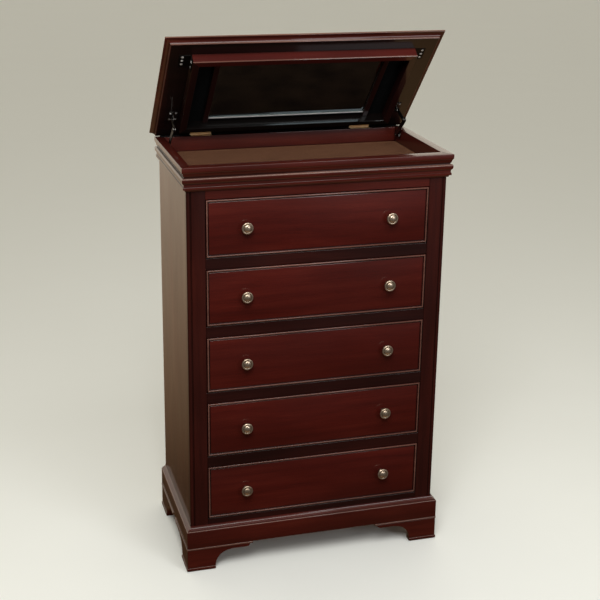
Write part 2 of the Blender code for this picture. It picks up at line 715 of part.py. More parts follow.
def headed(low, high):
    """Rivet with a chamfered head outside each limit."""
    head = 0.0013
    return [
        (low - head, 0.0037), (low - head / 2, 0.0045), (low, 0.0045), (low, RIVET_RADIUS),
        (high, RIVET_RADIUS), (high, 0.0045), (high + head / 2, 0.0045), (high + head, 0.0037),
    ]


def build_stay(hand, side, mats, lid_group, arm_group, link_group):
    """Case bracket with its stud, arm, link and lid bracket of one side."""
    case_pivot = pin_point(STAY_CASE_OFFSET)
    lid_pivot = pin_point(STAY_LID_OFFSET)
    elbow = pin_point([a + b for a, b in zip(STAY_CASE_OFFSET, STAY_LID_OFFSET)])

    def flat(name, outline, plane, group):
        bm = bmesh.new()
        extrude_x(bm, outline, (side * plane[0], side * plane[1]))
        return finish(name, bm, mats["steel"], group, smooth_angle=40)

    ends = [(case_pivot[0] + shift, case_pivot[1]) for shift in (-0.008, 0.008)]
    bracket = flat(f"stay_{hand}_case_bracket", stadium(*ends, 0.012), PLATE_PLANE, None)
    stud = [
        (ARM_PLANE[0] - GAP - 0.0013, 0.0050), (ARM_PLANE[0] - GAP, 0.0050),
        (ARM_PLANE[0] - GAP, RIVET_RADIUS), (ARM_PLANE[1] + GAP, RIVET_RADIUS),
        (ARM_PLANE[1] + GAP, 0.0042), (PLATE_PLANE[0] + 0.0005, 0.0042),
    ]
    rivet(bracket, case_pivot, stud, side, None)

    arm = flat(f"stay_{hand}_arm", stadium(case_pivot, elbow, 0.0075), ARM_PLANE, arm_group)
    pivot_hole(arm, case_pivot, ARM_PLANE, side, arm_group)
    reach = headed(LINK_PLANE[0] - GAP, ARM_PLANE[1])
    rivet(arm, elbow, reach, side, arm_group)

    link = flat(f"stay_{hand}_link", stadium(lid_pivot, elbow, 0.0065), LINK_PLANE, link_group)
    pivot_hole(link, lid_pivot, LINK_PLANE, side, link_group)
    pivot_hole(link, elbow, LINK_PLANE, side, link_group)

    under = LID_UNDERSIDE - GAP
    ear = arc(lid_pivot, 0.0070, 180, 360, 7)
    ear += [(lid_pivot[0] + 0.009, under - 0.0005), (lid_pivot[0] - 0.009, under - 0.0005)]
    bracket = flat(f"stay_{hand}_lid_bracket", ear, EAR_PLANE, lid_group)
    bm = bmesh.new()
    width = sorted((side * 0.3340, side * 0.3625))
    board(bm, width, (lid_pivot[0] - 0.018, lid_pivot[0] + 0.022), (under - 0.0015, under))
    boolean(bracket, "UNION", bm, lid_group)
    rivet(bracket, lid_pivot, headed(EAR_PLANE[0], LINK_PLANE[1] + GAP), side, lid_group)


def build_stays(mats, lid_group, arm_group, link_group):
    for side, hand in ((-1, "left"), (1, "right")):
        build_stay(hand, side, mats, lid_group, arm_group, link_group)


# ---------------------------------------------------------------- assembly
def build_all():
    clear_scene()
    mats = make_materials()
    build_case_panels(mats)
    build_front_frame(mats)
    build_runner_frames(mats)
    build_top_frame(mats)
    build_plinth(mats)
    build_till(mats)
    build_feet(mats)
    for number in range(1, DRAWER_COUNT + 1):
        build_drawer(number, mats)
    pin = place(0.0, -PIN_BEHIND, PIN_HEIGHT)
    lid_group = make_group("lid_hinge", pin, pin, -LID_OPEN)
    case_pivot = place(0.0, *pin_point(STAY_CASE_OFFSET))
    arm_group = make_group("stay_arm_pivot", case_pivot, case_pivot, -LID_OPEN)
    lid_pivot = place(0.0, *pin_point(STAY_LID_OFFSET))
    forward, up = STAY_LID_OFFSET
    open_pivot = pin + Vector((
        0.0,
        -(forward * math.cos(LID_OPEN) - up * math.sin(LID_OPEN)),
        forward * math.sin(LID_OPEN) + up * math.cos(LID_OPEN),
    ))
    link_group = make_group("stay_link_pivot", lid_pivot, open_pivot)
    build_lid(lid_group, mats)
    build_mirror(lid_group, mats)
    build_hinges(lid_group, mats)
    build_stays(mats, lid_group, arm_group, link_group)
    bpy.context.view_layer.update()


build_all()
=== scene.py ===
"""Looks of the lift-top jewellery chest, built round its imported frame.

Lengths are metres in the frame's own axes: +Z up, and the front faces -Y. Places along Y
are given as a depth, measured forward from the plane of the chest's back. Pieces of the
lid and of its stays are modelled with the lid closed, then stood in the open pose.
"""
import json
import math

import bmesh
import bpy
from mathutils import Matrix, Vector


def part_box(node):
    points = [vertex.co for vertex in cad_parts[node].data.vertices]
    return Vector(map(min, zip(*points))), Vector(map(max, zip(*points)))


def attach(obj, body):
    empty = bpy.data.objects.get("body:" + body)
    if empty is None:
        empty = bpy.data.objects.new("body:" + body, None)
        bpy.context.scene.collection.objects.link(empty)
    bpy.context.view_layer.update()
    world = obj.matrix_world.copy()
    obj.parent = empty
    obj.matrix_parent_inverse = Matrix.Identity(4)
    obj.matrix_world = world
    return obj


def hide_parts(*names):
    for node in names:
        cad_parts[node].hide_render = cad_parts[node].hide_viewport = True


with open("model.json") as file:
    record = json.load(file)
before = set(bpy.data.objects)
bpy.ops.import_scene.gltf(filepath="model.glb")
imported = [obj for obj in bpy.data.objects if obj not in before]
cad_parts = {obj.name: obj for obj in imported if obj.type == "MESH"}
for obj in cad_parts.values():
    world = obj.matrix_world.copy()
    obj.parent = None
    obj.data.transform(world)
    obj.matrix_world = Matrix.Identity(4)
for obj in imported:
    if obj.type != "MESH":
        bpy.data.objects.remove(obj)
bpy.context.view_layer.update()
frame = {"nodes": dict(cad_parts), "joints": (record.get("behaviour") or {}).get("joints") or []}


# ---------------------------------------------------------------- sizes read from the frame
def low(node):
    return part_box(node)[0]


def high(node):
    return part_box(node)[1]


HAIRLINE = 0.0001             # clearance between pieces that touch
GAP = 0.0003                  # clearance between the frame's own pieces
BACK_Y = high("side_panel_left").y
HALF = high("side_panel_right").x
CASE_DEPTH = BACK_Y - low("top_rail").y
POST_BACK = BACK_Y - high("front_post_left").y
OPENING_HALF = high("front_post_left").x * -1
RIM_TOP = high("top_frame_back").z
RIM_OUT = high("top_frame_right").x - HALF
TOP_FRAME_BOTTOM = low("top_frame_back").z
FILLET_BOTTOM = low("top_frame_front").z
TILL_HALF = high("top_frame_back").x + GAP
TILL_BACK = BACK_Y - low("top_frame_back").y
TILL_FRONT = BACK_Y - high("top_frame_front").y
PLINTH_TOP = high("plinth").z
PLINTH_BOTTOM = low("plinth").z
PLINTH_OUT = high("plinth").x - HALF
DRAWERS = range(1, 6)
DRAWER_SIDE = 0.012

JOINTS = {joint["name"]: joint for joint in frame["joints"]}
PIN = Vector(JOINTS["lid_hinge"]["pos_m"])
LID_OPEN = math.radians(JOINTS["lid_hinge"]["range_deg"][1])
PIN_DEPTH = BACK_Y - PIN.y    # just behind the plane of the back, so below zero
LID_UNDERSIDE = 2 * PIN.z - RIM_TOP
LID_HALF = high("lid_panel").x
LID_DEPTH = 0.437
LID_THICKNESS = 0.017
FRAME_HALF = high("mirror_frame").x
FRAME_REAR = 0.050
FRAME_FRONT = 0.380
FRAME_WIDTH = 0.020
FRAME_HEIGHT = 0.030
MIRROR_HALF = high("mirror_glass").x
MIRROR_REAR = 0.088
MIRROR_FRONT = 0.338
HINGE_X = 0.252
HINGE_WIDTH = 0.064
LEAF_DEPTH = 0.020
LEAF_THICKNESS = 0.0012
KNUCKLE_RADIUS = 0.0028
GROOVE_RADIUS = 0.0032        # of the groove let into the wood round the knuckles
FOOT_WIDTH = 0.203
FOOT_THICKNESS = 0.022
FOOT_SOLE = 0.085
SHOE_TOP = 0.011
FOOT_TOP = 0.0705


def turned_about(centre, angle):
    to_centre = Matrix.Translation(centre)
    return to_centre @ Matrix.Rotation(angle, 4, "X") @ to_centre.inverted()


LID_POSE = turned_about(PIN, -LID_OPEN)
CASE_PIVOT = Vector(JOINTS["stay_arm_pivot"]["pos_m"])
ARM_POSE = turned_about(CASE_PIVOT, -LID_OPEN)
OPEN_LID_PIVOT = Vector(JOINTS["stay_link_pivot"]["pos_m"])
LID_PIVOT = LID_POSE.inverted() @ OPEN_LID_PIVOT
LINK_POSE = Matrix.Translation(OPEN_LID_PIVOT - LID_PIVOT)
ELBOW = CASE_PIVOT + LID_PIVOT - PIN
POSE_OF = {"lid": LID_POSE, "stay_arms": ARM_POSE, "stay_links": LINK_POSE}
HANDS = ((-1, "left"), (1, "right"))


# ---------------------------------------------------------------- materials
class Nodes:
    """Short calls that add the nodes of one tree and join them."""

    def __init__(self, tree):
        self.tree = tree

    def feed(self, socket, value):
        if isinstance(value, bpy.types.NodeSocket):
            self.tree.links.new(value, socket)
        else:
            socket.default_value = value

    def add(self, kind, inputs=(), **settings):
        node = self.tree.nodes.new("ShaderNode" + kind)
        for setting, value in settings.items():
            setattr(node, setting, value)
        for key, value in dict(inputs).items():
            self.feed(node.inputs[key], value)
        return node

    def stretch(self, vector, scale):
        return self.add("Mapping", {"Vector": vector, "Scale": scale}).outputs[0]

    def noise(self, vector, scale, detail=3.0, roughness=0.5):
        inputs = {"Vector": vector, "Scale": scale, "Detail": detail, "Roughness": roughness}
        return self.add("TexNoise", inputs).outputs[0]

    def math(self, operation, a, b=0.0):
        return self.add("Math", {0: a, 1: b}, operation=operation).outputs[0]

    def between(self, value, start, end, low_value=0.0, high_value=1.0):
        inputs = {"Value": value, "From Min": start, "From Max": end}
        inputs.update({"To Min": low_value, "To Max": high_value})
        return self.add("MapRange", inputs).outputs[0]

    def mix(self, factor, a, b, blend="MIX"):
        settings = {"data_type": "RGBA", "blend_type": blend}
        return self.add("Mix", {0: factor, 6: a, 7: b}, **settings).outputs[2]

    def recess(self, reach):
        """1 in the open, falling to 0 in a corner or groove."""
        return self.add("AmbientOcclusion", {"Distance": reach}, samples=6).outputs["AO"]

    def bump(self, height, distance, strength=1.0, normal=None):
        inputs = {"Height": height, "Distance": distance, "Strength": strength}
        if normal is not None:
            inputs["Normal"] = normal
        return self.add("Bump", inputs).outputs[0]


class Shader(Nodes):
    """A new material and the nodes that paint it."""

    def __init__(self, name, **sockets):
        self.material = bpy.data.materials.new(name)
        self.material.use_nodes = True
        super().__init__(self.material.node_tree)
        self.surface = self.tree.nodes["Principled BSDF"]
        for socket, value in sockets.items():
            self.surface.inputs[socket.replace("_", " ")].default_value = value

    def paint(self, socket, value):
        self.feed(self.surface.inputs[socket], value)

    def place(self):
        return self.add("TexCoord").outputs["Object"]


def colour(red, green, blue):
    return (red, green, blue, 1.0)


ALONG = {"x": 0, "y": 1, "z": 2}


def grain_scale(along, lengthways, across):
    scale = [across, across, across]
    scale[ALONG[along]] = lengthways
    return scale


def bent_place(s, along, amount):
    """Object coordinates that wander a little, so that the grain isn't ruled straight."""
    place = s.place()
    slow = s.stretch(place, grain_scale(along, 1.3, 4.0))
    node = s.add("TexNoise", {"Vector": slow, "Scale": 1.0, "Detail": 2.0})
    centred = s.add("VectorMath", {0: node.outputs["Color"], 1: (0.5, 0.5, 0.5)}, operation="SUBTRACT")
    shift = s.add("VectorMath", {0: centred.outputs[0], "Scale": amount}, operation="SCALE")
    return s.add("VectorMath", {0: place, 1: shift.outputs[0]}, operation="ADD").outputs[0]


def growth_rings(s, bent, along, pitch):
    """Soft bands of early and late wood, from 0 to 1."""
    wander = s.noise(s.stretch(bent, grain_scale(along, 1.1, 5.0)), 1.0, 3.0)
    wave = s.add("SeparateXYZ", {0: bent}).outputs
    across = s.math("ADD", wave[(ALONG[along] + 1) % 3], wave[(ALONG[along] + 2) % 3])
    phase = s.math("ADD", s.math("MULTIPLY", across, 1.0 / pitch), s.math("MULTIPLY", wander, 9.0))
    return s.math("PINGPONG", phase, 1.0)


def lacquered_wood(name, along, dark, middle, light, figure=1.0, coat=0.75):
    """Stained and lacquered mahogany with its grain along one axis, and painted shade in its corners and
    grooves.
    """
    s = Shader(name, Coat_Weight=coat, Coat_Roughness=0.07, Specular_IOR_Level=0.16)
    bent = bent_place(s, along, 0.035)
    rings = growth_rings(s, bent, along, 0.017)
    ribbon = s.noise(s.stretch(bent, grain_scale(along, 1.6, 26.0)), 1.0, 4.0, 0.6)
    fibre = s.noise(s.stretch(bent, grain_scale(along, 9.0, 420.0)), 1.0, 3.0, 0.6)
    cloud = s.noise(s.stretch(bent, grain_scale(along, 2.2, 5.5)), 1.0, 2.0, 0.5)
    shade = s.math("MULTIPLY", rings, 0.07 * figure)
    shade = s.math("ADD", shade, s.math("MULTIPLY", ribbon, 0.50 * figure))
    shade = s.math("ADD", shade, s.math("MULTIPLY", fibre, 0.38))
    ramp = s.add("ValToRGB", {0: shade})
    stops = ramp.color_ramp.elements
    stops[0].position = 0.24
    stops[0].color = dark
    stops[1].position = 0.72
    stops[1].color = light
    stops.new(0.47).color = middle
    toned = s.mix(s.between(cloud, 0.35, 0.68, 0.0, 0.70), ramp.outputs[0], dark)
    pore_noise = s.noise(s.stretch(bent, grain_scale(along, 70.0, 1500.0)), 1.0, 2.0, 0.6)
    pores = s.between(pore_noise, 0.60, 0.72)
    toned = s.mix(s.math("MULTIPLY", pores, 0.45), toned, colour(0.006, 0.002, 0.0015))
    # painted shade: the base colour goes almost black in corners, grooves and gaps, where shade falls
    painted_recess_shade = s.between(s.recess(0.008), 0.35, 0.95, 0.85, 0.0)
    s.paint("Base Color", s.mix(painted_recess_shade, toned, colour(0.004, 0.0016, 0.0012)))
    smear = s.noise(s.stretch(bent, grain_scale(along, 3.0, 9.0)), 1.0, 3.0)
    s.paint("Roughness", s.between(smear, 0.3, 0.7, 0.30, 0.44))
    relief = s.bump(s.math("SUBTRACT", fibre, s.math("MULTIPLY", pores, 0.6)), 0.00012, 0.5)
    s.paint("Normal", relief)
    s.paint("Coat Normal", s.bump(s.noise(s.place(), 190.0, 2.0), 0.00006, 0.35))
    return s.material


def raw_wood(name, along, dark, light, knots=0.2):
    """Plain sanded timber with no finish on it."""
    s = Shader(name, Specular_IOR_Level=0.3)
    bent = bent_place(s, along, 0.03)
    rings = growth_rings(s, bent, along, 0.011)
    fibre = s.noise(s.stretch(bent, grain_scale(along, 12.0, 500.0)), 1.0, 3.0, 0.65)
    cloud = s.noise(s.stretch(bent, grain_scale(along, 3.0, 8.0)), 1.0, 3.0)
    shade = s.math("ADD", s.math("MULTIPLY", rings, 0.16), s.math("MULTIPLY", fibre, 0.72))
    tone = s.mix(s.between(shade, 0.2, 0.75), light, dark)
    aged = s.mix(s.between(cloud, 0.4, 0.7, 0.0, knots), tone, dark, "MULTIPLY")
    # the base colour darkens towards corners and grooves
    dust = s.between(s.recess(0.012), 0.3, 0.95, 0.5, 0.0)
    s.paint("Base Color", s.mix(dust, aged, dark))
    s.paint("Roughness", s.between(fibre, 0.3, 0.7, 0.52, 0.72))
    s.paint("Normal", s.bump(fibre, 0.0002, 0.6))
    return s.material


def pile(name, root, tip, sheen, nap_scale):
    """Felt or velvet: short fibres that catch the light at a glancing angle."""
    s = Shader(name, Sheen_Weight=sheen, Sheen_Roughness=0.45, Specular_IOR_Level=0.1, Roughness=0.95)
    s.surface.inputs["Sheen Tint"].default_value = tip
    place = s.place()
    nap = s.noise(place, nap_scale, 4.0, 0.7)
    brushed = s.noise(s.stretch(place, (9.0, 22.0, 22.0)), 1.0, 3.0, 0.55)
    lint = s.between(s.noise(place, nap_scale * 0.35, 2.0), 0.66, 0.80, 0.0, 0.5)
    shade = s.math("ADD", s.math("MULTIPLY", nap, 0.5), s.math("MULTIPLY", brushed, 0.5))
    body = s.mix(s.between(shade, 0.35, 0.65), root, s.mix(0.06, root, tip))
    s.paint("Base Color", s.mix(s.math("MULTIPLY", lint, 0.2), body, tip))
    s.paint("Normal", s.bump(nap, 0.0007, 0.8, s.bump(brushed, 0.002, 0.25)))
    return s.material


def metal(name, bright, dull, roughness, scratches, patina, metallic=1.0):
    """Metal with fine scratches, a slow change of tone and dirt in its recesses."""
    s = Shader(name, Metallic=metallic)
    place = s.place()
    slow = s.noise(place, 60.0, 3.0, 0.6)
    fine = s.noise(s.stretch(place, (900.0, 160.0, 160.0)), 1.0, 3.0, 0.6)
    tone = s.mix(s.between(slow, 0.35, 0.68), bright, dull)
    dirt = s.between(s.recess(0.004), 0.25, 0.95, patina, 0.0)
    s.paint("Base Color", s.mix(dirt, tone, (dull[0] * 0.18, dull[1] * 0.16, dull[2] * 0.14, 1.0)))
    uneven = s.math("ADD", s.math("MULTIPLY", slow, 0.6), s.math("MULTIPLY", fine, 0.4))
    s.paint("Roughness", s.between(uneven, 0.3, 0.7, roughness * 0.75, roughness * 1.5))
    s.paint("Normal", s.bump(fine, 0.00008, scratches, s.bump(slow, 0.0003, 0.12)))
    return s.material


def silvered_glass():
    s = Shader("mirror_silver", Metallic=1.0)
    place = s.place()
    cloud = s.noise(place, 9.0, 3.0, 0.6)
    wipe = s.noise(s.stretch(place, (5.0, 30.0, 5.0)), 1.0, 4.0, 0.6)
    s.paint("Base Color", s.mix(cloud, colour(0.28, 0.36, 0.38), colour(0.33, 0.40, 0.42)))
    s.paint("Roughness", s.between(wipe, 0.45, 0.8, 0.004, 0.020))
    return s.material


def ground_glass():
    s = Shader("mirror_edge", Specular_IOR_Level=0.6)
    frost = s.noise(s.place(), 900.0, 2.0)
    s.paint("Base Color", s.mix(frost, colour(0.50, 0.56, 0.55), colour(0.66, 0.70, 0.69)))
    s.paint("Roughness", s.between(frost, 0.3, 0.7, 0.22, 0.4))
    return s.material


def pale_floor():
    s = Shader("pale_floor", Specular_IOR_Level=0.25)
    mottle = s.noise(s.place(), 1.6, 4.0, 0.6)
    s.paint("Base Color", s.mix(mottle, colour(0.83, 0.86, 0.85), colour(0.87, 0.90, 0.89)))
    s.paint("Roughness", s.between(mottle, 0.3, 0.7, 0.55, 0.68))
    return s.material


MAHOGANY = {
    along: lacquered_wood(
        f"mahogany_{along}", along,
        colour(0.034, 0.0052, 0.0036), colour(0.082, 0.0104, 0.0068), colour(0.135, 0.0215, 0.0110),
    )
    for along in ALONG
}
DARK_MAHOGANY = {
    along: lacquered_wood(
        f"dark_mahogany_{along}", along,
        colour(0.010, 0.0026, 0.0024), colour(0.026, 0.0052, 0.0044), colour(0.046, 0.0100, 0.0075),
    )
    for along in ALONG
}
POST_MAHOGANY = lacquered_wood(
    "post_mahogany", "z",
    colour(0.018, 0.0036, 0.0030), colour(0.044, 0.0072, 0.0054), colour(0.074, 0.0135, 0.0090),
)
# painted highlight: lighter mahogany laid along beads, lips and rounded edges, where light catches them
PAINTED_HIGHLIGHT = lacquered_wood(
    "painted_highlight_edge", "x",
    colour(0.085, 0.036, 0.027), colour(0.165, 0.076, 0.058), colour(0.24, 0.122, 0.094),
)
# painted highlight, softer: mid-light mahogany for the lid's outer edge and the sides of the rim's bullnose
PAINTED_SOFT_HIGHLIGHT = lacquered_wood(
    "painted_soft_highlight_edge", "x",
    colour(0.080, 0.032, 0.022), colour(0.155, 0.070, 0.048), colour(0.225, 0.112, 0.078),
)
# painted shade: nearly black mahogany with a thin coat, laid in the quirks inside the drawer beads
PAINTED_QUIRK_SHADE = lacquered_wood(
    "quirk", "x",
    colour(0.0060, 0.0016, 0.0014), colour(0.0110, 0.0026, 0.0021), colour(0.0180, 0.0042, 0.0032),
    coat=0.15,
)
# painted shade: near-black wood for the mirror frame's rear member, which lies in shade under the open lid
PAINTED_SHADE_WOOD = lacquered_wood(
    "painted_shade_wood", "x",
    colour(0.0022, 0.0018, 0.0018), colour(0.0040, 0.0028, 0.0026), colour(0.0075, 0.0044, 0.0038),
)
# painted shade: near-black wood for the lid's underside, which faces down, away from the light
UNDERSIDE = lacquered_wood(
    "lid_underside", "x",
    colour(0.0040, 0.0022, 0.0020), colour(0.0105, 0.0040, 0.0034), colour(0.0200, 0.0075, 0.0060),
)
FRONT_MAHOGANY = lacquered_wood(
    "drawer_mahogany", "x",
    colour(0.038, 0.0044, 0.0034), colour(0.076, 0.0080, 0.0056), colour(0.114, 0.0150, 0.0092), 1.05,
)
DRAWER_WOOD = {
    along: raw_wood(f"drawer_wood_{along}", along, colour(0.40, 0.25, 0.12), colour(0.60, 0.43, 0.25))
    for along in ALONG
}
PANEL_BOARD = raw_wood("panel_board", "z", colour(0.085, 0.040, 0.022), colour(0.175, 0.092, 0.052))
FELT = pile("felt", colour(0.0040, 0.0018, 0.0013), colour(0.50, 0.23, 0.125), 0.72, 1400.0)
BLACK_VELVET = pile("black_velvet", colour(0.0025, 0.0028, 0.0030), colour(0.05, 0.05, 0.055), 0.10, 1700.0)
SILVER = silvered_glass()
GLASS_EDGE = ground_glass()
BRASS = metal("brass", colour(1.0, 0.74, 0.40), colour(0.98, 0.64, 0.32), 0.36, 0.5, 0.3, 0.10)
STEEL = metal("steel", colour(0.16, 0.155, 0.145), colour(0.075, 0.072, 0.068), 0.30, 0.6, 0.7)
BLACK_STEEL = metal("black_steel", colour(0.030, 0.030, 0.030), colour(0.014, 0.014, 0.014), 0.42, 0.6, 0.5)
ZINC = metal("zinc", colour(0.95, 0.95, 0.94), colour(0.80, 0.80, 0.79), 0.30, 0.5, 0.4, 0.2)
PEWTER = metal("pewter", colour(0.60, 0.49, 0.38), colour(0.36, 0.28, 0.205), 0.30, 0.35, 0.97, 0.85)
FOOT_PAD = raw_wood("foot_pad", "x", colour(0.010, 0.010, 0.010), colour(0.022, 0.021, 0.020))


# ---------------------------------------------------------------- making pieces
def place(x, depth, z):
    return Vector((x, BACK_Y - depth, z))


def make(name, bm, material, body, nodes=(), bevel=0.0, sharp=35):
    """Turns a bmesh into a piece that rides on a body and may stand for frame nodes.
    A piece of the lid or a stay is modelled with the lid closed, then posed."""
    bmesh.ops.recalc_face_normals(bm, faces=bm.faces)
    mesh = bpy.data.meshes.new(name)
    bm.to_mesh(mesh)
    bm.free()
    for one in material if isinstance(material, (list, tuple)) else [material]:
        mesh.materials.append(one)
    mesh.shade_smooth()
    mesh.set_sharp_from_angle(angle=math.radians(sharp))
    obj = bpy.data.objects.new(name, mesh)
    bpy.context.scene.collection.objects.link(obj)
    if body in POSE_OF:
        obj.matrix_world = POSE_OF[body]
    if bevel:
        modifier = obj.modifiers.new("soft_edges", "BEVEL")
        modifier.width = bevel
        modifier.segments = 3
        modifier.limit_method = "ANGLE"
        modifier.angle_limit = math.radians(50)
        modifier.harden_normals = True
    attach(obj, body)
    if nodes:
        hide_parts(*nodes)
    return obj


def cut(piece, bm):
    """Takes the solid in bm out of a piece."""
    bmesh.ops.recalc_face_normals(bm, faces=bm.faces)
    mesh = bpy.data.meshes.new("cutter")
    bm.to_mesh(mesh)
    bm.free()
    cutter = bpy.data.objects.new("cutter", mesh)
    cutter.matrix_world = piece.matrix_world
    bpy.context.scene.collection.objects.link(cutter)
    modifier = piece.modifiers.new("recess", "BOOLEAN")
    modifier.object = cutter
    bpy.context.view_layer.update()
    whole = piece.evaluated_get(bpy.context.evaluated_depsgraph_get())
    piece.data = bpy.data.meshes.new_from_object(whole)
    piece.modifiers.remove(modifier)
    bpy.data.objects.remove(cutter)


def repaint(piece, material, test):
    """Gives another material to the faces whose (depth, z, normal) pass a test."""
    piece.data.materials.append(material)
    index = len(piece.data.materials) - 1
    for face in piece.data.polygons:
        if test(BACK_Y - face.center.y, face.center.z, face.normal):
            face.material_index = index


def board(bm, x, depth, z):
    cube = bmesh.ops.create_cube(bm, size=1.0)["verts"]
    corners = place(x[0], depth[1], z[0]), place(x[1], depth[0], z[1])
    bmesh.ops.scale(bm, verts=cube, vec=corners[1] - corners[0])
    bmesh.ops.translate(bm, verts=cube, vec=(corners[0] + corners[1]) / 2)
    return bm


def node_board(node, material, body, bevel=0.0008):
    """Board with eased edges that stands for a square frame node."""
    first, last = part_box(node)
    bm = bmesh.new()
    board(bm, (first.x, last.x), (BACK_Y - last.y, BACK_Y - first.y), (first.z, last.z))
    return make(node + "_board", bm, material, body, [node], bevel=bevel)


def sweep(bm, outline, stations):
    """Carries an outline through placed copies of itself, with an end face at each end."""
    rings = [[bm.verts.new(station(*point)) for point in outline] for station in stations]
    return loft(bm, rings)


def loft(bm, rings):
    """Skin over a run of rings, closed with a face at each end."""
    bm.faces.new(rings[0])
    bm.faces.new(reversed(rings[-1]))
    join_rings(bm, rings)
    return bm


def join_rings(bm, rings):
    for ring, following in zip(rings, rings[1:]):
        for i in range(len(ring)):
            j = (i + 1) % len(ring)
            bm.faces.new((ring[i], following[i], following[j], ring[j]))


def extrude_x(bm, outline, x):
    """Outline of (depth, z) points carried along X."""
    return sweep(bm, outline, (lambda d, z: place(x[0], d, z), lambda d, z: place(x[1], d, z)))


def extrude_up(bm, outline, z):
    """Outline of (x, depth) points carried upwards."""
    return sweep(bm, outline, (lambda x, d: place(x, d, z[0]), lambda x, d: place(x, d, z[1])))


def arc(centre, radius, start, end, steps):
    points = []
    for i in range(steps + 1):
        angle = math.radians(start + (end - start) * i / steps)
        points.append((centre[0] + radius * math.cos(angle), centre[1] + radius * math.sin(angle)))
    return points


def rectangle(across, along, inset):
    """Corners of a rectangle drawn in by an inset on every side."""
    first, last = across[0] + inset, across[1] - inset
    near, far = along[0] + inset, along[1] - inset
    return (first, near), (last, near), (last, far), (first, far)


def circle(centre, radius, steps=32):
    return arc(centre, radius, 0, 360, steps)[:-1]


def stadium(first, second, radius, steps=16):
    heading = math.degrees(math.atan2(second[1] - first[1], second[0] - first[0]))
    near = arc(first, radius, heading + 90, heading + 270, steps)
    return near + arc(second, radius, heading - 90, heading + 90, steps)


def turned(bm, centre, axis, profile, steps=32):
    """Closed solid of (distance along the axis, radius) points turned about the axis."""
    along = Vector(axis).normalized()
    across = along.orthogonal().normalized()
    other = along.cross(across)
    rings = []
    for distance, radius in profile:
        ring = []
        for i in range(steps):
            angle = 2 * math.pi * i / steps
            spoke = across * math.cos(angle) + other * math.sin(angle)
            ring.append(bm.verts.new(centre + along * distance + spoke * radius))
        rings.append(ring)
    loft(bm, rings)


def screw(bm, centre, axis, radius, turn=0.4, proud=0.0004):
    """Countersunk screw head with a cross recess, its rim level with the surface."""
    along = Vector(axis).normalized()
    across = Matrix.Rotation(turn, 3, along) @ along.orthogonal().normalized()
    other = along.cross(across)
    arm = radius * 0.62
    slot = radius * 0.17
    recess = [(arm, slot), (slot, slot), (slot, arm), (-slot, arm), (-slot, slot), (-arm, slot)]
    recess += [(-x, -y) for x, y in recess]
    rim = []
    for x, y in recess:
        heading = math.atan2(y, x)
        rim.append((radius * math.cos(heading), radius * math.sin(heading)))

    def ring(points, height, scale=1.0):
        return [bm.verts.new(centre + along * height + (across * x + other * y) * scale) for x, y in points]

    skirt = ring(rim, -0.0005)
    edge = ring(rim, proud * 0.5)
    crown = ring(rim, proud, 0.9)
    mouth = ring(recess, proud)
    pit = ring(recess, proud - radius * 0.45, 0.6)
    loft(bm, [skirt, edge, crown, mouth, pit])


# ---------------------------------------------------------------- mouldings of the case
def run_of(side):
    """Stations that carry (out, z) points along the front or back along one side."""
    if side == "front":
        return (
            lambda out, z: place(-HALF - out + HAIRLINE, CASE_DEPTH + out, z),
            lambda out, z: place(HALF + out - HAIRLINE, CASE_DEPTH + out, z),
        )
    hand = -1 if side == "left" else 1
    return (
        lambda out, z: place(hand * (HALF + out), 0.0, z),
        lambda out, z: place(hand * (HALF + out), CASE_DEPTH + out - HAIRLINE, z),
    )


def rim_profile():
    """Rim, bullnose and cove of the top frame as (out, z) points, from the top down."""
    ease = 0.0012
    points = arc((RIM_OUT - ease, RIM_TOP - ease), ease, 90, 0, 4)
    points += arc((RIM_OUT - 0.0085, RIM_TOP - 0.0100), 0.0085, 0, -52, 10)
    points += [(0.0080, RIM_TOP - 0.0248), (0.0075, RIM_TOP - 0.0256)]
    points += [(0.0060, RIM_TOP - 0.0258), (0.0058, RIM_TOP - 0.0292)]
    points += arc((0.0086, RIM_TOP - 0.0340), 0.0044, 96, 0, 9)
    points += arc((0.0020, RIM_TOP - 0.0375), 0.0108, 0, -58, 9)
    points += [(0.0078, TOP_FRAME_BOTTOM + 0.0012), (0.0094, TOP_FRAME_BOTTOM + 0.0010)]
    points += [(0.0097, TOP_FRAME_BOTTOM + 0.0005), (0.0095, TOP_FRAME_BOTTOM - 0.0052)]
    points += arc((0.0095, FILLET_BOTTOM), 0.0065, 90, 176, 7)
    return points + [(GAP, FILLET_BOTTOM), (GAP, TOP_FRAME_BOTTOM)]


def make_top_frame():
    inner_ease = 0.0014
    for side in ("left", "right", "front"):
        inner = TILL_FRONT - CASE_DEPTH if side == "front" else TILL_HALF - HALF
        outline = [(inner, TOP_FRAME_BOTTOM)]
        outline += arc((inner + inner_ease, RIM_TOP - inner_ease), inner_ease, 180, 90, 5)
        outline += rim_profile()
        bm = bmesh.new()
        if side == "front":
            side_in = TILL_HALF - HALF
            stations = (
                lambda out, z: place(-HALF - max(out, side_in) + HAIRLINE, CASE_DEPTH + out, z),
                lambda out, z: place(HALF + max(out, side_in) - HAIRLINE, CASE_DEPTH + out, z),
            )
            sweep(bm, outline, stations)
        else:
            sweep(bm, outline, run_of(side))
        grain = "x" if side == "front" else "y"
        node = f"top_frame_{side}"
        rim = make(f"top_rim_{side}", bm, MAHOGANY[grain], "case", [node], sharp=32)

        # painted highlight on the bullnose: faces turned partly up get the softer highlight, those turned
        # most up the lighter one
        def on_bullnose(steepest, flattest):
            edge = RIM_TOP - 0.0345, RIM_TOP - 0.0290
            return lambda depth, z, normal: edge[0] < z < edge[1] and steepest < normal.z <= flattest

        repaint(rim, PAINTED_SOFT_HIGHLIGHT, on_bullnose(0.05, 0.5))
        repaint(rim, PAINTED_HIGHLIGHT, on_bullnose(0.5, 1.1))


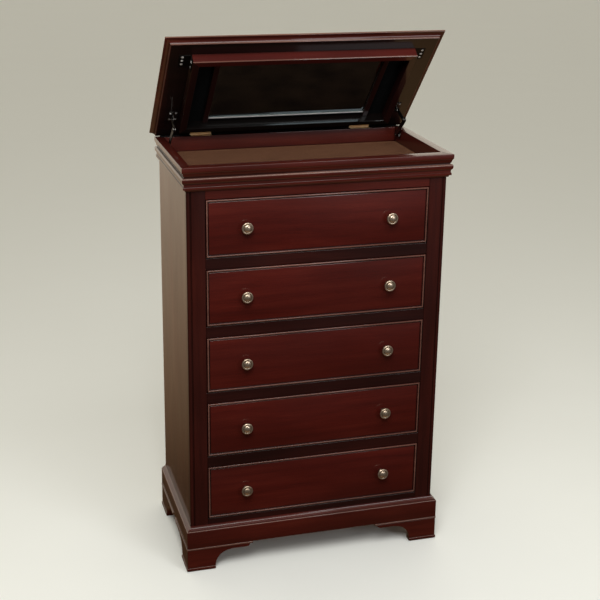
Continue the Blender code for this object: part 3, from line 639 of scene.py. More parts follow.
def hinge_mortise(surface, into):
    """Steps of the recess for one leaf and for its half of the knuckles, as (depth, z)."""
    floor = surface + into * (LEAF_THICKNESS + GAP)
    groove = PIN.z + into * GROOVE_RADIUS
    groove_end = GROOVE_RADIUS + PIN_DEPTH
    leaf_end = LEAF_DEPTH + GAP
    steps = [(leaf_end, surface), (leaf_end, floor), (groove_end, floor)]
    return steps + [(groove_end, groove), (0.0, groove)]


def make_rear_wall():
    """Back rail of the till, let in at the top for the two hinge leaves."""
    ease = 0.0014
    front = TILL_BACK
    top_corner = arc((front - ease, RIM_TOP - ease), ease, 0, 90, 5)
    full = [(0.0, TOP_FRAME_BOTTOM), (front, TOP_FRAME_BOTTOM)] + top_corner + [(0.0, RIM_TOP)]
    notched = full[:-1] + hinge_mortise(RIM_TOP, -1)
    notched[0] = (0.0, TOP_FRAME_BOTTOM)
    reach = HINGE_WIDTH / 2 + GAP
    stops = [-TILL_HALF + GAP, -HINGE_X - reach, -HINGE_X + reach, HINGE_X - reach, HINGE_X + reach]
    stops.append(TILL_HALF - GAP)
    bm = bmesh.new()
    for i, limits in enumerate(zip(stops, stops[1:])):
        extrude_x(bm, full if i % 2 == 0 else notched, limits)
    make("till_back_rail", bm, MAHOGANY["x"], "case", ["top_frame_back"], sharp=40)


def make_seal():
    """Black felt strips over the back rail: the closed lid lies on them, and their lip
    behind the lid keeps dust and light out of the joint."""
    reach = HINGE_WIDTH / 2 + 0.001
    front = TILL_BACK - 0.0016
    spans = {"left": (-LID_HALF + 0.030, -HINGE_X - reach), "right": (HINGE_X + reach, LID_HALF - 0.030)}
    spans["middle"] = (-HINGE_X + reach, HINGE_X - reach)
    for name, limits in spans.items():
        outline = [(front, RIM_TOP + HAIRLINE), (front, RIM_TOP + 0.0006)]
        outline += [(-0.0010, RIM_TOP + 0.0006), (-0.0012, RIM_TOP + 0.0013)]
        outline += [(-0.0020, RIM_TOP + 0.0013), (-0.0020, RIM_TOP - 0.0080)]
        outline += [(-HAIRLINE, RIM_TOP - 0.0080), (-HAIRLINE, RIM_TOP + HAIRLINE)]
        bm = extrude_x(bmesh.new(), outline, limits)
        make(f"lid_seal_{name}", bm, BLACK_VELVET, "case")


def make_plinth():
    """Skirting with a hollow top edge, mitred at the front corners."""
    outline = [(GAP, PLINTH_BOTTOM)]
    outline += arc((PLINTH_OUT - 0.001, PLINTH_BOTTOM + 0.001), 0.001, 270, 360, 3)
    outline += arc((PLINTH_OUT - 0.0022, PLINTH_TOP - 0.0152), 0.0022, 0, 80, 5)
    outline += [(0.0106, PLINTH_TOP - 0.0128), (0.0105, PLINTH_TOP - 0.0104)]
    outline += arc((0.0102, PLINTH_TOP), 0.0096, 268, 180, 9)
    outline += [(GAP, PLINTH_TOP)]
    for side in ("front", "left", "right"):
        bm = bmesh.new()
        sweep(bm, outline, run_of(side))
        grain = "x" if side == "front" else "y"
        piece = make(f"plinth_{side}", bm, MAHOGANY[grain], "case", ["plinth"], sharp=32)
        # painted highlight along the lip at the top of the hollow
        edge = PLINTH_TOP - 0.0145, PLINTH_TOP - 0.0127
        repaint(piece, PAINTED_HIGHLIGHT, lambda depth, z, normal: edge[0] < z < edge[1])


# ---------------------------------------------------------------- case
def make_posts():
    bead = 0.0060
    quirk = HALF - 2 * bead
    for side, name in HANDS:
        outline = [(OPENING_HALF, POST_BACK)]
        outline += arc((OPENING_HALF + 0.0008, CASE_DEPTH - 0.0008), 0.0008, 180, 90, 3)
        outline += arc((quirk - 0.0026, CASE_DEPTH - 0.0008), 0.0008, 90, 0, 3)
        outline += [(quirk - 0.0014, CASE_DEPTH - 0.0030)]
        outline += arc((HALF - bead, CASE_DEPTH - bead), bead, 152, 0, 16)
        outline += [(HALF, POST_BACK)]
        limits = low(f"front_post_{name}").z, high(f"front_post_{name}").z
        bm = extrude_up(bmesh.new(), [(side * x, d) for x, d in outline], limits)
        make(f"post_{name}", bm, POST_MAHOGANY, "case", [f"front_post_{name}"], sharp=40)


def make_case():
    for name in ("left", "right"):
        node_board(f"side_panel_{name}", MAHOGANY["z"], "case")
    node_board("back_panel", PANEL_BOARD, "case", 0.0004)
    node_board("till_floor", PANEL_BOARD, "case", 0.0004)
    node_board("top_rail", MAHOGANY["x"], "case")
    for number in range(1, 5):
        node_board(f"drawer_rail_{number}", DARK_MAHOGANY["x"], "case", 0.0010)
    rail_half = OPENING_HALF - GAP
    rail = low("base_board").z, high("base_board").z
    bm = board(bmesh.new(), (-rail_half, rail_half), (POST_BACK, CASE_DEPTH), rail)
    make("base_rail", bm, DARK_MAHOGANY["x"], "case", ["base_board"], bevel=0.0010)
    reach = high("base_board").x
    rear = BACK_Y - high("base_board").y
    bm = board(bmesh.new(), (-reach, reach), (rear, POST_BACK - GAP), (0.135, 0.150))
    make("base_panel", bm, PANEL_BOARD, "case", ["base_board"], bevel=0.0004)
    for name in ("left", "right"):
        runner = frame["nodes"][f"runner_frame_{name}"]
        runner.data.materials.clear()
        runner.data.materials.append(DRAWER_WOOD["y"])


def make_back_nails():
    """Round nail heads that hold the back panel to the sides and the rails."""
    first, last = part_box("back_panel")
    inset = 0.010
    spots = []
    for i in range(10):
        z = first.z + inset + (last.z - first.z - 2 * inset) * i / 9
        spots += [(first.x + inset, z), (last.x - inset, z)]
    for i in range(1, 6):
        x = first.x + inset + (last.x - first.x - 2 * inset) * i / 6
        spots += [(x, first.z + inset), (x, last.z - inset)]
    bm = bmesh.new()
    head = [(-0.0006, 0.0022), (0.0002, 0.0022), (0.0006, 0.0017), (0.0008, 0.0006)]
    for x, z in spots:
        turned(bm, Vector((x, last.y, z)), (0.0, 1.0, 0.0), head, 12)
    make("back_panel_nails", bm, ZINC, "case")


def make_till_lining():
    """Felt over a thin pad: slightly crowned, with rolled edges."""
    first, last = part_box("till_lining")
    columns, rows = 60, 32
    size = last - first
    bm = bmesh.new()
    top = []
    for j in range(rows + 1):
        line = []
        for i in range(columns + 1):
            x = first.x + size.x * i / columns
            y = first.y + size.y * j / rows
            edge = min(x - first.x, last.x - x, y - first.y, last.y - y)
            roll = 1.0 - max(0.0, 1.0 - edge / 0.010) ** 2
            ripple = 0.12 * math.sin(x * 31.0 + 2.0 * math.sin(y * 17.0)) * math.sin(y * 27.0 + 1.3)
            height = size.z * (0.45 + 0.40 * roll + 0.15 * roll * (0.5 + 4.0 * ripple * 0.5))
            line.append(bm.verts.new((x, y, first.z + min(height, size.z))))
        top.append(line)
    for lower, upper in zip(top, top[1:]):
        for i in range(columns):
            bm.faces.new((lower[i], lower[i + 1], upper[i + 1], upper[i]))
    edge_loop = [edge for edge in bm.edges if edge.is_boundary]
    skirt = bmesh.ops.extrude_edge_only(bm, edges=edge_loop)["geom"]
    for vert in [item for item in skirt if isinstance(item, bmesh.types.BMVert)]:
        vert.co.z = first.z
    bmesh.ops.contextual_create(bm, geom=[edge for edge in bm.edges if edge.is_boundary])
    make("till_felt", bm, FELT, "case", ["till_lining"], sharp=60)


# ---------------------------------------------------------------- feet
def foot_outline(width):
    """Bracket foot seen from the front, as (distance from the corner, z) points."""
    hollow = 0.048
    crest = FOOT_TOP - 0.010
    outline = [(0.0, SHOE_TOP), (FOOT_SOLE, SHOE_TOP)]
    outline += arc((FOOT_SOLE + hollow, SHOE_TOP), hollow, 180, 97, 20)[1:]
    outline += [(FOOT_SOLE + hollow + 0.006, crest), (width - 0.022, crest)]
    outline += arc((width - 0.022, FOOT_TOP), 0.010, 270, 360, 10)[1:]
    return outline + [(0.0, FOOT_TOP)]


def make_bracket(name, side, along, mitred, node):
    """One board of a foot. A mitred board meets its neighbour at the front corner."""
    outer = PLINTH_OUT

    def station(out):
        lead = outer - out + HAIRLINE if mitred else 0.0

        def spot(run, z):
            run = max(run, lead)
            if along == "front":
                return place(side * (HALF + outer - run), CASE_DEPTH + out, z)
            if along == "side":
                return place(side * (HALF + out), CASE_DEPTH + outer - run, z)
            return place(side * (HALF + out), run, z)

        return spot

    bm = bmesh.new()
    sweep(bm, foot_outline(FOOT_WIDTH), (station(outer), station(outer - FOOT_THICKNESS)))
    grain = "x" if along == "front" else "y"
    make(name, bm, MAHOGANY[grain], "case", [node], bevel=0.0009)


def strip_outline(z, proud, radius):
    """Section of a bead or shoe with a rounded nose, as (out, z) points."""
    nose = PLINTH_OUT + proud
    outline = arc((nose - radius, z[0] + radius), radius, 270, 360, 6)
    outline += arc((nose - radius, z[1] - radius), radius, 0, 90, 6)
    return outline + [(PLINTH_OUT - FOOT_THICKNESS, z[1]), (PLINTH_OUT - FOOT_THICKNESS, z[0])]


def make_strip(name, z, proud, width, side, rear, material, radius):
    """Bead, shoe or pad round a foot, with a painted highlight on its upper edge unless it is the pad."""
    if rear:
        stations = (
            lambda out, z: place(side * (HALF + out), 0.0, z),
            lambda out, z: place(side * (HALF + out), width, z),
        )
    else:
        across = HALF + PLINTH_OUT - width
        along = CASE_DEPTH + PLINTH_OUT - width
        stations = (
            lambda out, z: place(side * across, CASE_DEPTH + out, z),
            lambda out, z: place(side * (HALF + out), CASE_DEPTH + out, z),
            lambda out, z: place(side * (HALF + out), along, z),
        )
    bm = sweep(bmesh.new(), strip_outline(z, proud, radius), stations)
    strip = make(name, bm, material, "case", sharp=40)
    # painted highlight on the upper edge
    if material is not FOOT_PAD:
        upper = z[1] - radius * 0.5
        repaint(strip, PAINTED_HIGHLIGHT, lambda depth, z, normal: z > upper)


def make_feet():
    """Front feet of two mitred boards with a glue block, rear feet of one with a brace."""
    bead = (FOOT_TOP + HAIRLINE, PLINTH_BOTTOM - HAIRLINE)
    shoe = (0.0026, SHOE_TOP - HAIRLINE)
    pad = (0.0, 0.0024)
    inner = HALF + PLINTH_OUT - FOOT_THICKNESS - HAIRLINE
    front = CASE_DEPTH + PLINTH_OUT - FOOT_THICKNESS - HAIRLINE
    for side, hand in HANDS:
        node = f"foot_front_{hand}"
        make_bracket(f"{node}_face", side, "front", True, node)
        make_bracket(f"{node}_return", side, "side", True, node)
        rear_node = f"foot_rear_{hand}"
        make_bracket(f"{rear_node}_side", side, "rear", False, rear_node)
        for owner, rear in ((node, False), (rear_node, True)):
            grain = MAHOGANY["y" if rear else "x"]
            # the bead is painted highlight colour all over
            make_strip(f"{owner}_bead", bead, 0.0014, FOOT_WIDTH - 0.004, side, rear, PAINTED_HIGHLIGHT, 0.0020)
            make_strip(f"{owner}_shoe", shoe, 0.0020, FOOT_SOLE, side, rear, grain, 0.0016)
            make_strip(f"{owner}_pad", pad, -0.0015, FOOT_SOLE - 0.0035, side, rear, FOOT_PAD, 0.0005)
        block = [(side * (inner - 0.034), front), (side * inner, front), (side * inner, front - 0.034)]
        bm = extrude_up(bmesh.new(), block, (SHOE_TOP, PLINTH_BOTTOM - GAP))
        make(f"{node}_glue_block", bm, DRAWER_WOOD["z"], "case", bevel=0.0008)
        brace = sorted((side * (inner - 0.060), side * inner))
        bm = board(bmesh.new(), brace, (0.001, 0.019), (0.001, PLINTH_BOTTOM - GAP))
        make(f"{rear_node}_brace", bm, DRAWER_WOOD["x"], "case", bevel=0.0010)


# ---------------------------------------------------------------- drawers
def make_drawer_front(name, body):
    """Front with a bead standing round its edge and a quirk inside the bead."""
    first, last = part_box(f"{name}_front")
    back = BACK_Y - last.y
    field = CASE_DEPTH - 0.0002
    ease = 0.0006
    steps = [(0.0, back)]
    edge = CASE_DEPTH - 0.0014
    steps += [(ease - ease * math.cos(a), edge + ease * math.sin(a)) for a in (0.0, 0.5, 1.0)]
    bead = CASE_DEPTH - 0.0007
    steps += [(0.0030 - dx, bead + dz) for dx, dz in arc((0.0, 0.0), 0.0026, 12, 180, 12)]
    quirk = ((0.0061, 0.0016), (0.0066, 0.0019), (0.0072, 0.0018), (0.0078, 0.0010))
    steps += [(inset, CASE_DEPTH - sunk) for inset, sunk in quirk]
    steps += [(0.0084, field - 0.0003), (0.0096, field)]
    bm = bmesh.new()
    rings = []
    for inset, depth in steps:
        corners = rectangle((first.x, last.x), (first.z, last.z), inset)
        rings.append([bm.verts.new(place(x, depth, z)) for x, z in corners])
    loft(bm, rings)
    node = [f"{name}_front"]
    face = make(f"{name}_face", bm, FRONT_MAHOGANY, body, node, sharp=42)
    crown = CASE_DEPTH + 0.0009
    quirk_top = CASE_DEPTH - 0.0013
    quirk_floor = CASE_DEPTH - 0.0020

    def in_quirk(depth, z, normal):
        if depth > quirk_floor:
            return depth < quirk_top
        return abs(normal.y) < 0.5

    # painted highlight on the bead's crown, painted shade in the quirk inside it
    repaint(face, PAINTED_HIGHLIGHT, lambda depth, z, normal: depth > crown)
    repaint(face, PAINTED_QUIRK_SHADE, in_quirk)


def tail_row(z, count):
    """Centres of the dovetails up the height of a drawer side."""
    pitch = (z[1] - z[0]) / count
    return [z[0] + pitch * (i + 0.5) for i in range(count)]


TAIL_ROOT = 0.0125            # half widths of a dovetail at its shoulder and at its end
TAIL_END = 0.0150
TAILS = 3


def tail_points(z, shoulder, end):
    points = []
    for centre in tail_row(z, TAILS):
        points += [(shoulder, centre - TAIL_ROOT), (end, centre - TAIL_END)]
        points += [(end, centre + TAIL_END), (shoulder, centre + TAIL_ROOT)]
    return points


def pins(bm, z, shoulder, end, x):
    """End grain of the back or front board, showing between the dovetails."""
    centres = tail_row(z, TAILS)
    slack = HAIRLINE
    lows = [(z[0], z[0])] + [(c + TAIL_ROOT + slack, c + TAIL_END + slack) for c in centres]
    highs = [(c - TAIL_ROOT - slack, c - TAIL_END - slack) for c in centres] + [(z[1], z[1])]
    for lower, upper in zip(lows, highs):
        outline = [(shoulder, lower[0]), (end, lower[1]), (end, upper[1]), (shoulder, upper[0])]
        extrude_x(bm, outline, x)


def make_drawer_box(name, body):
    """Dovetailed box with a thin floor let into its sides."""
    first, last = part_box(f"{name}_box")
    node = [f"{name}_box"]
    z = first.z, last.z
    rear, front = BACK_Y - last.y, BACK_Y - first.y
    rear_in, front_in = rear + DRAWER_SIDE, front - DRAWER_SIDE
    half = last.x
    inner = half - DRAWER_SIDE
    for side, hand in HANDS:
        outline = [(rear_in, z[0])] + tail_points(z, rear_in, rear) + [(rear_in, z[1])]
        outline += [(front_in, z[1])] + tail_points(z, front_in, front)[::-1] + [(front_in, z[0])]
        bm = extrude_x(bmesh.new(), outline, (side * inner, side * half))
        make(f"{name}_side_{hand}", bm, DRAWER_WOOD["y"], body, node, sharp=30)
    for end, limits in (("back", (rear_in, rear)), ("inner_front", (front_in, front))):
        shoulder, outer = limits
        bm = bmesh.new()
        within = inner - HAIRLINE
        board(bm, (-within, within), sorted((shoulder, outer)), z)
        for side in (-1, 1):
            pins(bm, z, shoulder, outer, (side * within, side * half))
        make(f"{name}_{end}", bm, DRAWER_WOOD["x"], body, node, sharp=30)
    within = inner - HAIRLINE
    depth = (rear_in + HAIRLINE, front_in - HAIRLINE)
    bm = board(bmesh.new(), (-within, within), depth, (z[0] + 0.003, z[0] + 0.008))
    make(f"{name}_floor", bm, DRAWER_WOOD["x"], body, node)
    return front_in


def knob_profile():
    """Rose, waisted neck, ringed rim, groove and dome, as (distance, radius) points."""
    profile = [(0.0, 0.0085), (0.0010, 0.0086)]
    profile += [(0.0018 + x, 0.0074 + r) for x, r in arc((0.0, 0.0), 0.0011, 80, 0, 3)]
    profile += [(0.0036, 0.0058), (0.0052, 0.0050), (0.0072, 0.0047), (0.0092, 0.0052)]
    profile += [(0.0110, 0.0072), (0.0126, 0.0105), (0.0138, 0.0134)]
    profile += [(0.0170 - 0.0032 * math.cos(a), 0.0138 + 0.0030 * math.sin(a))
                for a in [math.radians(15 + 15 * i) for i in range(11)]]
    profile += [(0.0196, 0.0121), (0.0190, 0.0116), (0.0192, 0.0111)]
    dome = 0.0110
    for i in range(9):
        angle = math.radians(8 + 81 * i / 8)
        profile.append((0.0190 + 0.0048 * math.sin(angle), dome * math.cos(angle)))
    return profile


def make_knobs(name, body, bolt_depth):
    first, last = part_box(f"{name}_front")
    middle = (first.z + last.z) / 2
    for side, hand in HANDS:
        node = f"{name}_knob_{hand}"
        low_corner, high_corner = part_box(node)
        x = (low_corner.x + high_corner.x) / 2
        bm = bmesh.new()
        turned(bm, Vector((x, high_corner.y, middle)), (0.0, -1.0, 0.0), knob_profile(), 40)
        make(f"{node}_turned", bm, PEWTER, body, [node], sharp=40)
        bm = bmesh.new()
        head = [(0.0, 0.0070), (0.0008, 0.0070), (0.0009, 0.0046), (0.0022, 0.0042), (0.0028, 0.0028)]
        turned(bm, place(x, bolt_depth, middle), (0.0, 1.0, 0.0), head, 24)
        screw(bm, place(x, bolt_depth - 0.0027, middle), (0.0, 1.0, 0.0), 0.0026)
        make(f"{node}_bolt", bm, ZINC, body)


def make_drawers():
    for number in DRAWERS:
        name = f"drawer_{number}"
        make_drawer_front(name, name)
        bolt_depth = make_drawer_box(name, name)
        make_knobs(name, name, bolt_depth)


# ---------------------------------------------------------------- lid and mirror
def lid_edge():
    """Section of the lid's moulded edge as (inset, height above the underside) points,
    from the underside up: a small lip, a hollow, then the plain outer edge."""
    points = [(0.0178, 0.0), (0.0168, 0.0002), (0.0162, 0.0008), (0.0160, 0.0024)]
    for i in range(10):
        angle = math.radians(4 + 82 * i / 9)
        points.append((0.0022 + 0.0128 * math.cos(angle), 0.0030 + 0.0084 * math.sin(angle)))
    points += [(0.0020, 0.0116), (0.0004, 0.0119), (0.0, 0.0124)]
    ease = 0.0018
    for i in range(7):
        angle = math.radians(90 * i / 6)
        points.append((ease - ease * math.cos(angle), LID_THICKNESS - ease + ease * math.sin(angle)))
    return points


def make_lid_panel():
    """Board with a moulded edge on three sides, let in below for the hinge leaves."""
    left = []
    right = []
    bm = bmesh.new()
    for inset, up in lid_edge():
        z = LID_UNDERSIDE + up
        reach = LID_HALF - inset
        front = LID_DEPTH - inset
        left.append([bm.verts.new(place(-reach, d, z)) for d in (0.0, front)])
        right.append([bm.verts.new(place(reach, d, z)) for d in (0.0, front)])
    for i in range(len(left) - 1):
        bm.faces.new((left[i][0], left[i][1], left[i + 1][1], left[i + 1][0]))
        bm.faces.new((left[i][1], right[i][1], right[i + 1][1], left[i + 1][1]))
        bm.faces.new((right[i][1], right[i][0], right[i + 1][0], right[i + 1][1]))
    for end in (0, -1):
        bm.faces.new((left[end][0], left[end][1], right[end][1], right[end][0]))
    bm.faces.new([pair[0] for pair in left] + [pair[0] for pair in reversed(right)])
    lid = make("lid_board", bm, MAHOGANY["x"], "lid", ["lid_panel"], sharp=32)
    cutter = bmesh.new()
    reach = HINGE_WIDTH / 2 + GAP
    below = LID_UNDERSIDE - 0.002
    outline = [(-0.002, below), (LEAF_DEPTH + GAP, below)] + hinge_mortise(LID_UNDERSIDE, 1)
    outline[-1] = (-0.002, outline[-1][1])
    for side in (-1, 1):
        extrude_x(cutter, outline, (side * HINGE_X - reach, side * HINGE_X + reach))
    cut(lid, cutter)
    step = LID_UNDERSIDE + 0.0030
    corner = LID_UNDERSIDE + 0.0114
    fascia = LID_UNDERSIDE + 0.0126
    # painted shade on the underside; painted highlight on the lip's edges and the outer edge, lightest on
    # its front-facing band
    repaint(lid, UNDERSIDE, lambda depth, z, normal: normal.z < -0.99 and z < step)
    repaint(lid, PAINTED_HIGHLIGHT, lambda depth, z, normal: -0.95 < normal.z < 0.9 and z < step)
    repaint(lid, PAINTED_SOFT_HIGHLIGHT, lambda depth, z, normal: abs(normal.z) < 0.9 and corner < z)
    repaint(lid, PAINTED_HIGHLIGHT, lambda depth, z, normal: normal.y < -0.3 and corner < z < fascia)


def frame_member_outline(inner, outer, under):
    """Section of the mirror's box frame, with a small lip along its lower outer edge."""
    bottom = under - FRAME_HEIGHT
    direction = 1 if outer > inner else -1
    ease = 0.0012
    lip = 0.0035
    inset = 0.0010
    points = [(inner, under), (inner, bottom + ease), (inner + direction * ease, bottom)]
    points += [(outer - direction * ease, bottom), (outer, bottom + ease)]
    points += [(outer, bottom + lip - 0.0006), (outer - direction * inset, bottom + lip)]
    return points + [(outer - direction * inset, under)]


def make_mirror_frame():
    """Box frame of four mitred members, the front one dressed as the show face."""
    under = LID_UNDERSIDE - GAP
    inner = FRAME_HALF - FRAME_WIDTH
    rear_in, front_in = FRAME_REAR + FRAME_WIDTH, FRAME_FRONT - FRAME_WIDTH
    # the rear member takes the painted shade wood, near black
    for name, near, far, wood in (
        ("front", front_in, FRAME_FRONT, FRONT_MAHOGANY), ("rear", rear_in, FRAME_REAR, PAINTED_SHADE_WOOD),
    ):
        outline = frame_member_outline(near, far, under)
        stations = [
            lambda d, z, s=s: place(s * (inner + abs(d - near) - HAIRLINE), d, z) for s in (-1, 1)
        ]
        bm = sweep(bmesh.new(), outline, stations)
        member = make(f"mirror_frame_{name}", bm, wood, "lid", ["mirror_frame"])
        lip = under - FRAME_HEIGHT + 0.0040
        # painted highlight along the front member's lower lip
        if name == "front":
            repaint(member, PAINTED_HIGHLIGHT, lambda depth, z, normal: z < lip and depth > FRAME_FRONT - 0.0030)
    for side, hand in HANDS:
        outline = frame_member_outline(inner, FRAME_HALF, under)
        stations = (
            lambda x, z: place(side * x, rear_in - (x - inner) + HAIRLINE, z),
            lambda x, z: place(side * x, front_in + (x - inner) - HAIRLINE, z),
        )
        wood = DARK_MAHOGANY["y"]
        bm = sweep(bmesh.new(), outline, stations)
        make(f"mirror_frame_{hand}", bm, wood, "lid", ["mirror_frame"])


def make_mirror():
    """Velvet board, bevelled glass, its dark side strips and the channel it stands in."""
    under = LID_UNDERSIDE - GAP
    inner = FRAME_HALF - FRAME_WIDTH - GAP
    depth = (FRAME_REAR + FRAME_WIDTH + GAP, FRAME_FRONT - FRAME_WIDTH - GAP)
    backing_low = under - 0.0020
    bm = board(bmesh.new(), (-inner, inner), depth, (backing_low, under))
    make("mirror_velvet", bm, BLACK_VELVET, "lid", ["mirror_backing"])

    top = backing_low - GAP
    bevel = 0.0090
    levels = [(0.0, top), (0.0, top - 0.0014), (0.0008, top - 0.0020), (bevel, top - 0.0030)]
    bm = bmesh.new()
    rings = []
    for inset, z in levels:
        corners = rectangle((-MIRROR_HALF, MIRROR_HALF), (MIRROR_REAR, MIRROR_FRONT), inset)
        rings.append([bm.verts.new(place(x, d, z)) for x, d in corners])
    loft(bm, rings)
    glass = make("mirror_plate", bm, [SILVER, GLASS_EDGE], "lid", ["mirror_glass"], sharp=1)
    for face in glass.data.polygons:
        heights = [glass.data.vertices[i].co.z for i in face.vertices]
        face.material_index = 1 if max(heights) > top - 0.0019 else 0

    strip_out = MIRROR_HALF + 0.016
    for side, hand in HANDS:
        limits = sorted((side * (MIRROR_HALF + GAP), side * strip_out))
        reach = depth[0] + GAP, depth[1] - GAP
        bm = board(bmesh.new(), limits, reach, (backing_low - 0.0085, backing_low - HAIRLINE))
        make(f"mirror_edging_{hand}", bm, DARK_MAHOGANY["y"], "lid", bevel=0.0015)
    channel = (backing_low - 0.0052, backing_low - HAIRLINE)
    lip_low = channel[0]
    outline = [(MIRROR_REAR - 0.0016, channel[1]), (MIRROR_REAR - 0.0016, lip_low)]
    outline += [(MIRROR_REAR + 0.0022, lip_low), (MIRROR_REAR + 0.0022, lip_low + 0.0008)]
    outline += [(MIRROR_REAR - 0.0008, lip_low + 0.0008), (MIRROR_REAR - 0.0008, channel[1])]
    bm = extrude_x(bmesh.new(), outline, (-MIRROR_HALF, MIRROR_HALF))
    make("mirror_channel", bm, ZINC, "lid", bevel=0.0002)


def make_frame_brackets():
    """Angle brackets that screw the front of the mirror's box frame to the lid."""
    under = LID_UNDERSIDE - HAIRLINE
    plate = 0.0014
    depth = (0.330, 0.376)
    for side, hand in HANDS:
        inner = FRAME_HALF + HAIRLINE
        outline = [(inner, under), (inner, under - 0.024), (inner + plate, under - 0.024)]
        outline += [(inner + plate, under - plate - 0.001), (inner + plate + 0.001, under - plate)]
        outline += [(inner + 0.033, under - plate), (inner + 0.033, under)]
        bm = bmesh.new()
        sweep(bm, [(side * x, z) for x, z in outline], (
            lambda x, z: place(x, depth[0], z),
            lambda x, z: place(x, depth[1], z),
        ))
        make(f"frame_bracket_{hand}", bm, BLACK_STEEL, "lid", bevel=0.0004)
        bm = bmesh.new()
        for i in range(3):
            spot = place(side * (inner + 0.0240), depth[0] + 0.009 + 0.015 * i, under - plate)
            screw(bm, spot, (0.0, 0.0, -1.0), 0.0034, turn=0.5 + i)
        for i in range(2):
            spot = place(side * (inner + plate), depth[0] + 0.013 + 0.022 * i, under - 0.015)
            screw(bm, spot, (side, 0.0, 0.0), 0.0032, turn=0.9 + i)
        make(f"frame_bracket_{hand}_screws", bm, ZINC, "lid")


# ---------------------------------------------------------------- hinges
def make_leaf(hand, owner, centre):
    """Plate with its share of the knuckles; the pin is hidden inside them."""
    below = owner == "case"
    surface = RIM_TOP if below else LID_UNDERSIDE
    into = -1 if below else 1
    inner_face = surface + into * LEAF_THICKNESS
    half = HINGE_WIDTH / 2
    corner = 0.0025
    rear = GROOVE_RADIUS + PIN_DEPTH
    outline = [(-half, rear), (half, rear)]
    outline += arc((half - corner, LEAF_DEPTH - corner), corner, 0, 90, 5)
    outline += arc((-half + corner, LEAF_DEPTH - corner), corner, 90, 180, 5)
    bm = bmesh.new()
    extrude_up(bm, [(centre + x, d) for x, d in outline], sorted((surface, inner_face)))
    step = HINGE_WIDTH / 5
    pin_line = (PIN_DEPTH, PIN.z)
    for index in range(5):
        if (index % 2 == 0) != below:
            continue
        limits = (centre - half + index * step + 0.00015, centre - half + (index + 1) * step - 0.00015)
        board(bm, limits, (PIN_DEPTH, rear + 0.001), sorted((surface, inner_face)))
        extrude_x(bm, circle(pin_line, KNUCKLE_RADIUS, 28), limits)
    name = f"hinge_{hand}_{owner}_leaf"
    make(f"{name}_plate", bm, BRASS, owner, [name], bevel=0.00022)
    bm = bmesh.new()
    for i, x in enumerate((-0.0215, 0.0, 0.0215)):
        depth = 0.0075 if i == 1 else 0.0135
        screw(bm, place(centre + x, depth, surface), (0.0, 0.0, -into), 0.0029, 0.3 + i, 0.0003)
    make(f"{name}_screws", bm, BRASS, owner)


def make_hinges():
    for side, hand in HANDS:
        for owner in ("case", "lid"):
            make_leaf(hand, owner, side * HINGE_X)


# ---------------------------------------------------------------- lid stays
def at(point):
    """(depth, z) of a point on a stay."""
    return BACK_Y - point.y, point.z


def dome(height, radius):
    """Domed rivet head as (distance, radius) points."""
    points = [(0.0, radius)]
    for i in range(6):
        angle = math.radians(10 + 75 * i / 5)
        points.append((height * (0.35 + 0.65 * math.sin(angle)), radius * math.cos(angle)))
    return points


def rivet(bm, centre, side, near, far, radius=0.0045):
    """Shank with a domed head at each end, between two planes off the middle of the chest."""
    spot = place(0.0, *centre)
    turned(bm, spot, (side, 0.0, 0.0), [(near - 0.0001, 0.0022), (far + 0.0001, 0.0022)], 20)
    turned(bm, spot + Vector((side * far, 0.0, 0.0)), (side, 0.0, 0.0), dome(0.0012, radius), 24)
    turned(bm, spot + Vector((side * near, 0.0, 0.0)), (-side, 0.0, 0.0), dome(0.0012, radius), 24)


def pierced(bm, outline, holes, x):
    """Flat bar extruded along X with round holes through it."""
    loops = []
    for ring in [outline] + holes:
        verts = [bm.verts.new(place(x[0], d, z)) for d, z in ring]
        edges = [bm.edges.new((verts[i], verts[(i + 1) % len(verts)])) for i in range(len(verts))]
        loops += edges
    faces = bmesh.ops.triangle_fill(bm, edges=loops, use_beauty=True)["geom"]
    flat = [item for item in faces if isinstance(item, bmesh.types.BMFace)]
    grown = bmesh.ops.extrude_face_region(bm, geom=flat)["geom"]
    moved = [item for item in grown if isinstance(item, bmesh.types.BMVert)]
    bmesh.ops.translate(bm, verts=moved, vec=(x[1] - x[0], 0.0, 0.0))
    bmesh.ops.recalc_face_normals(bm, faces=bm.faces)


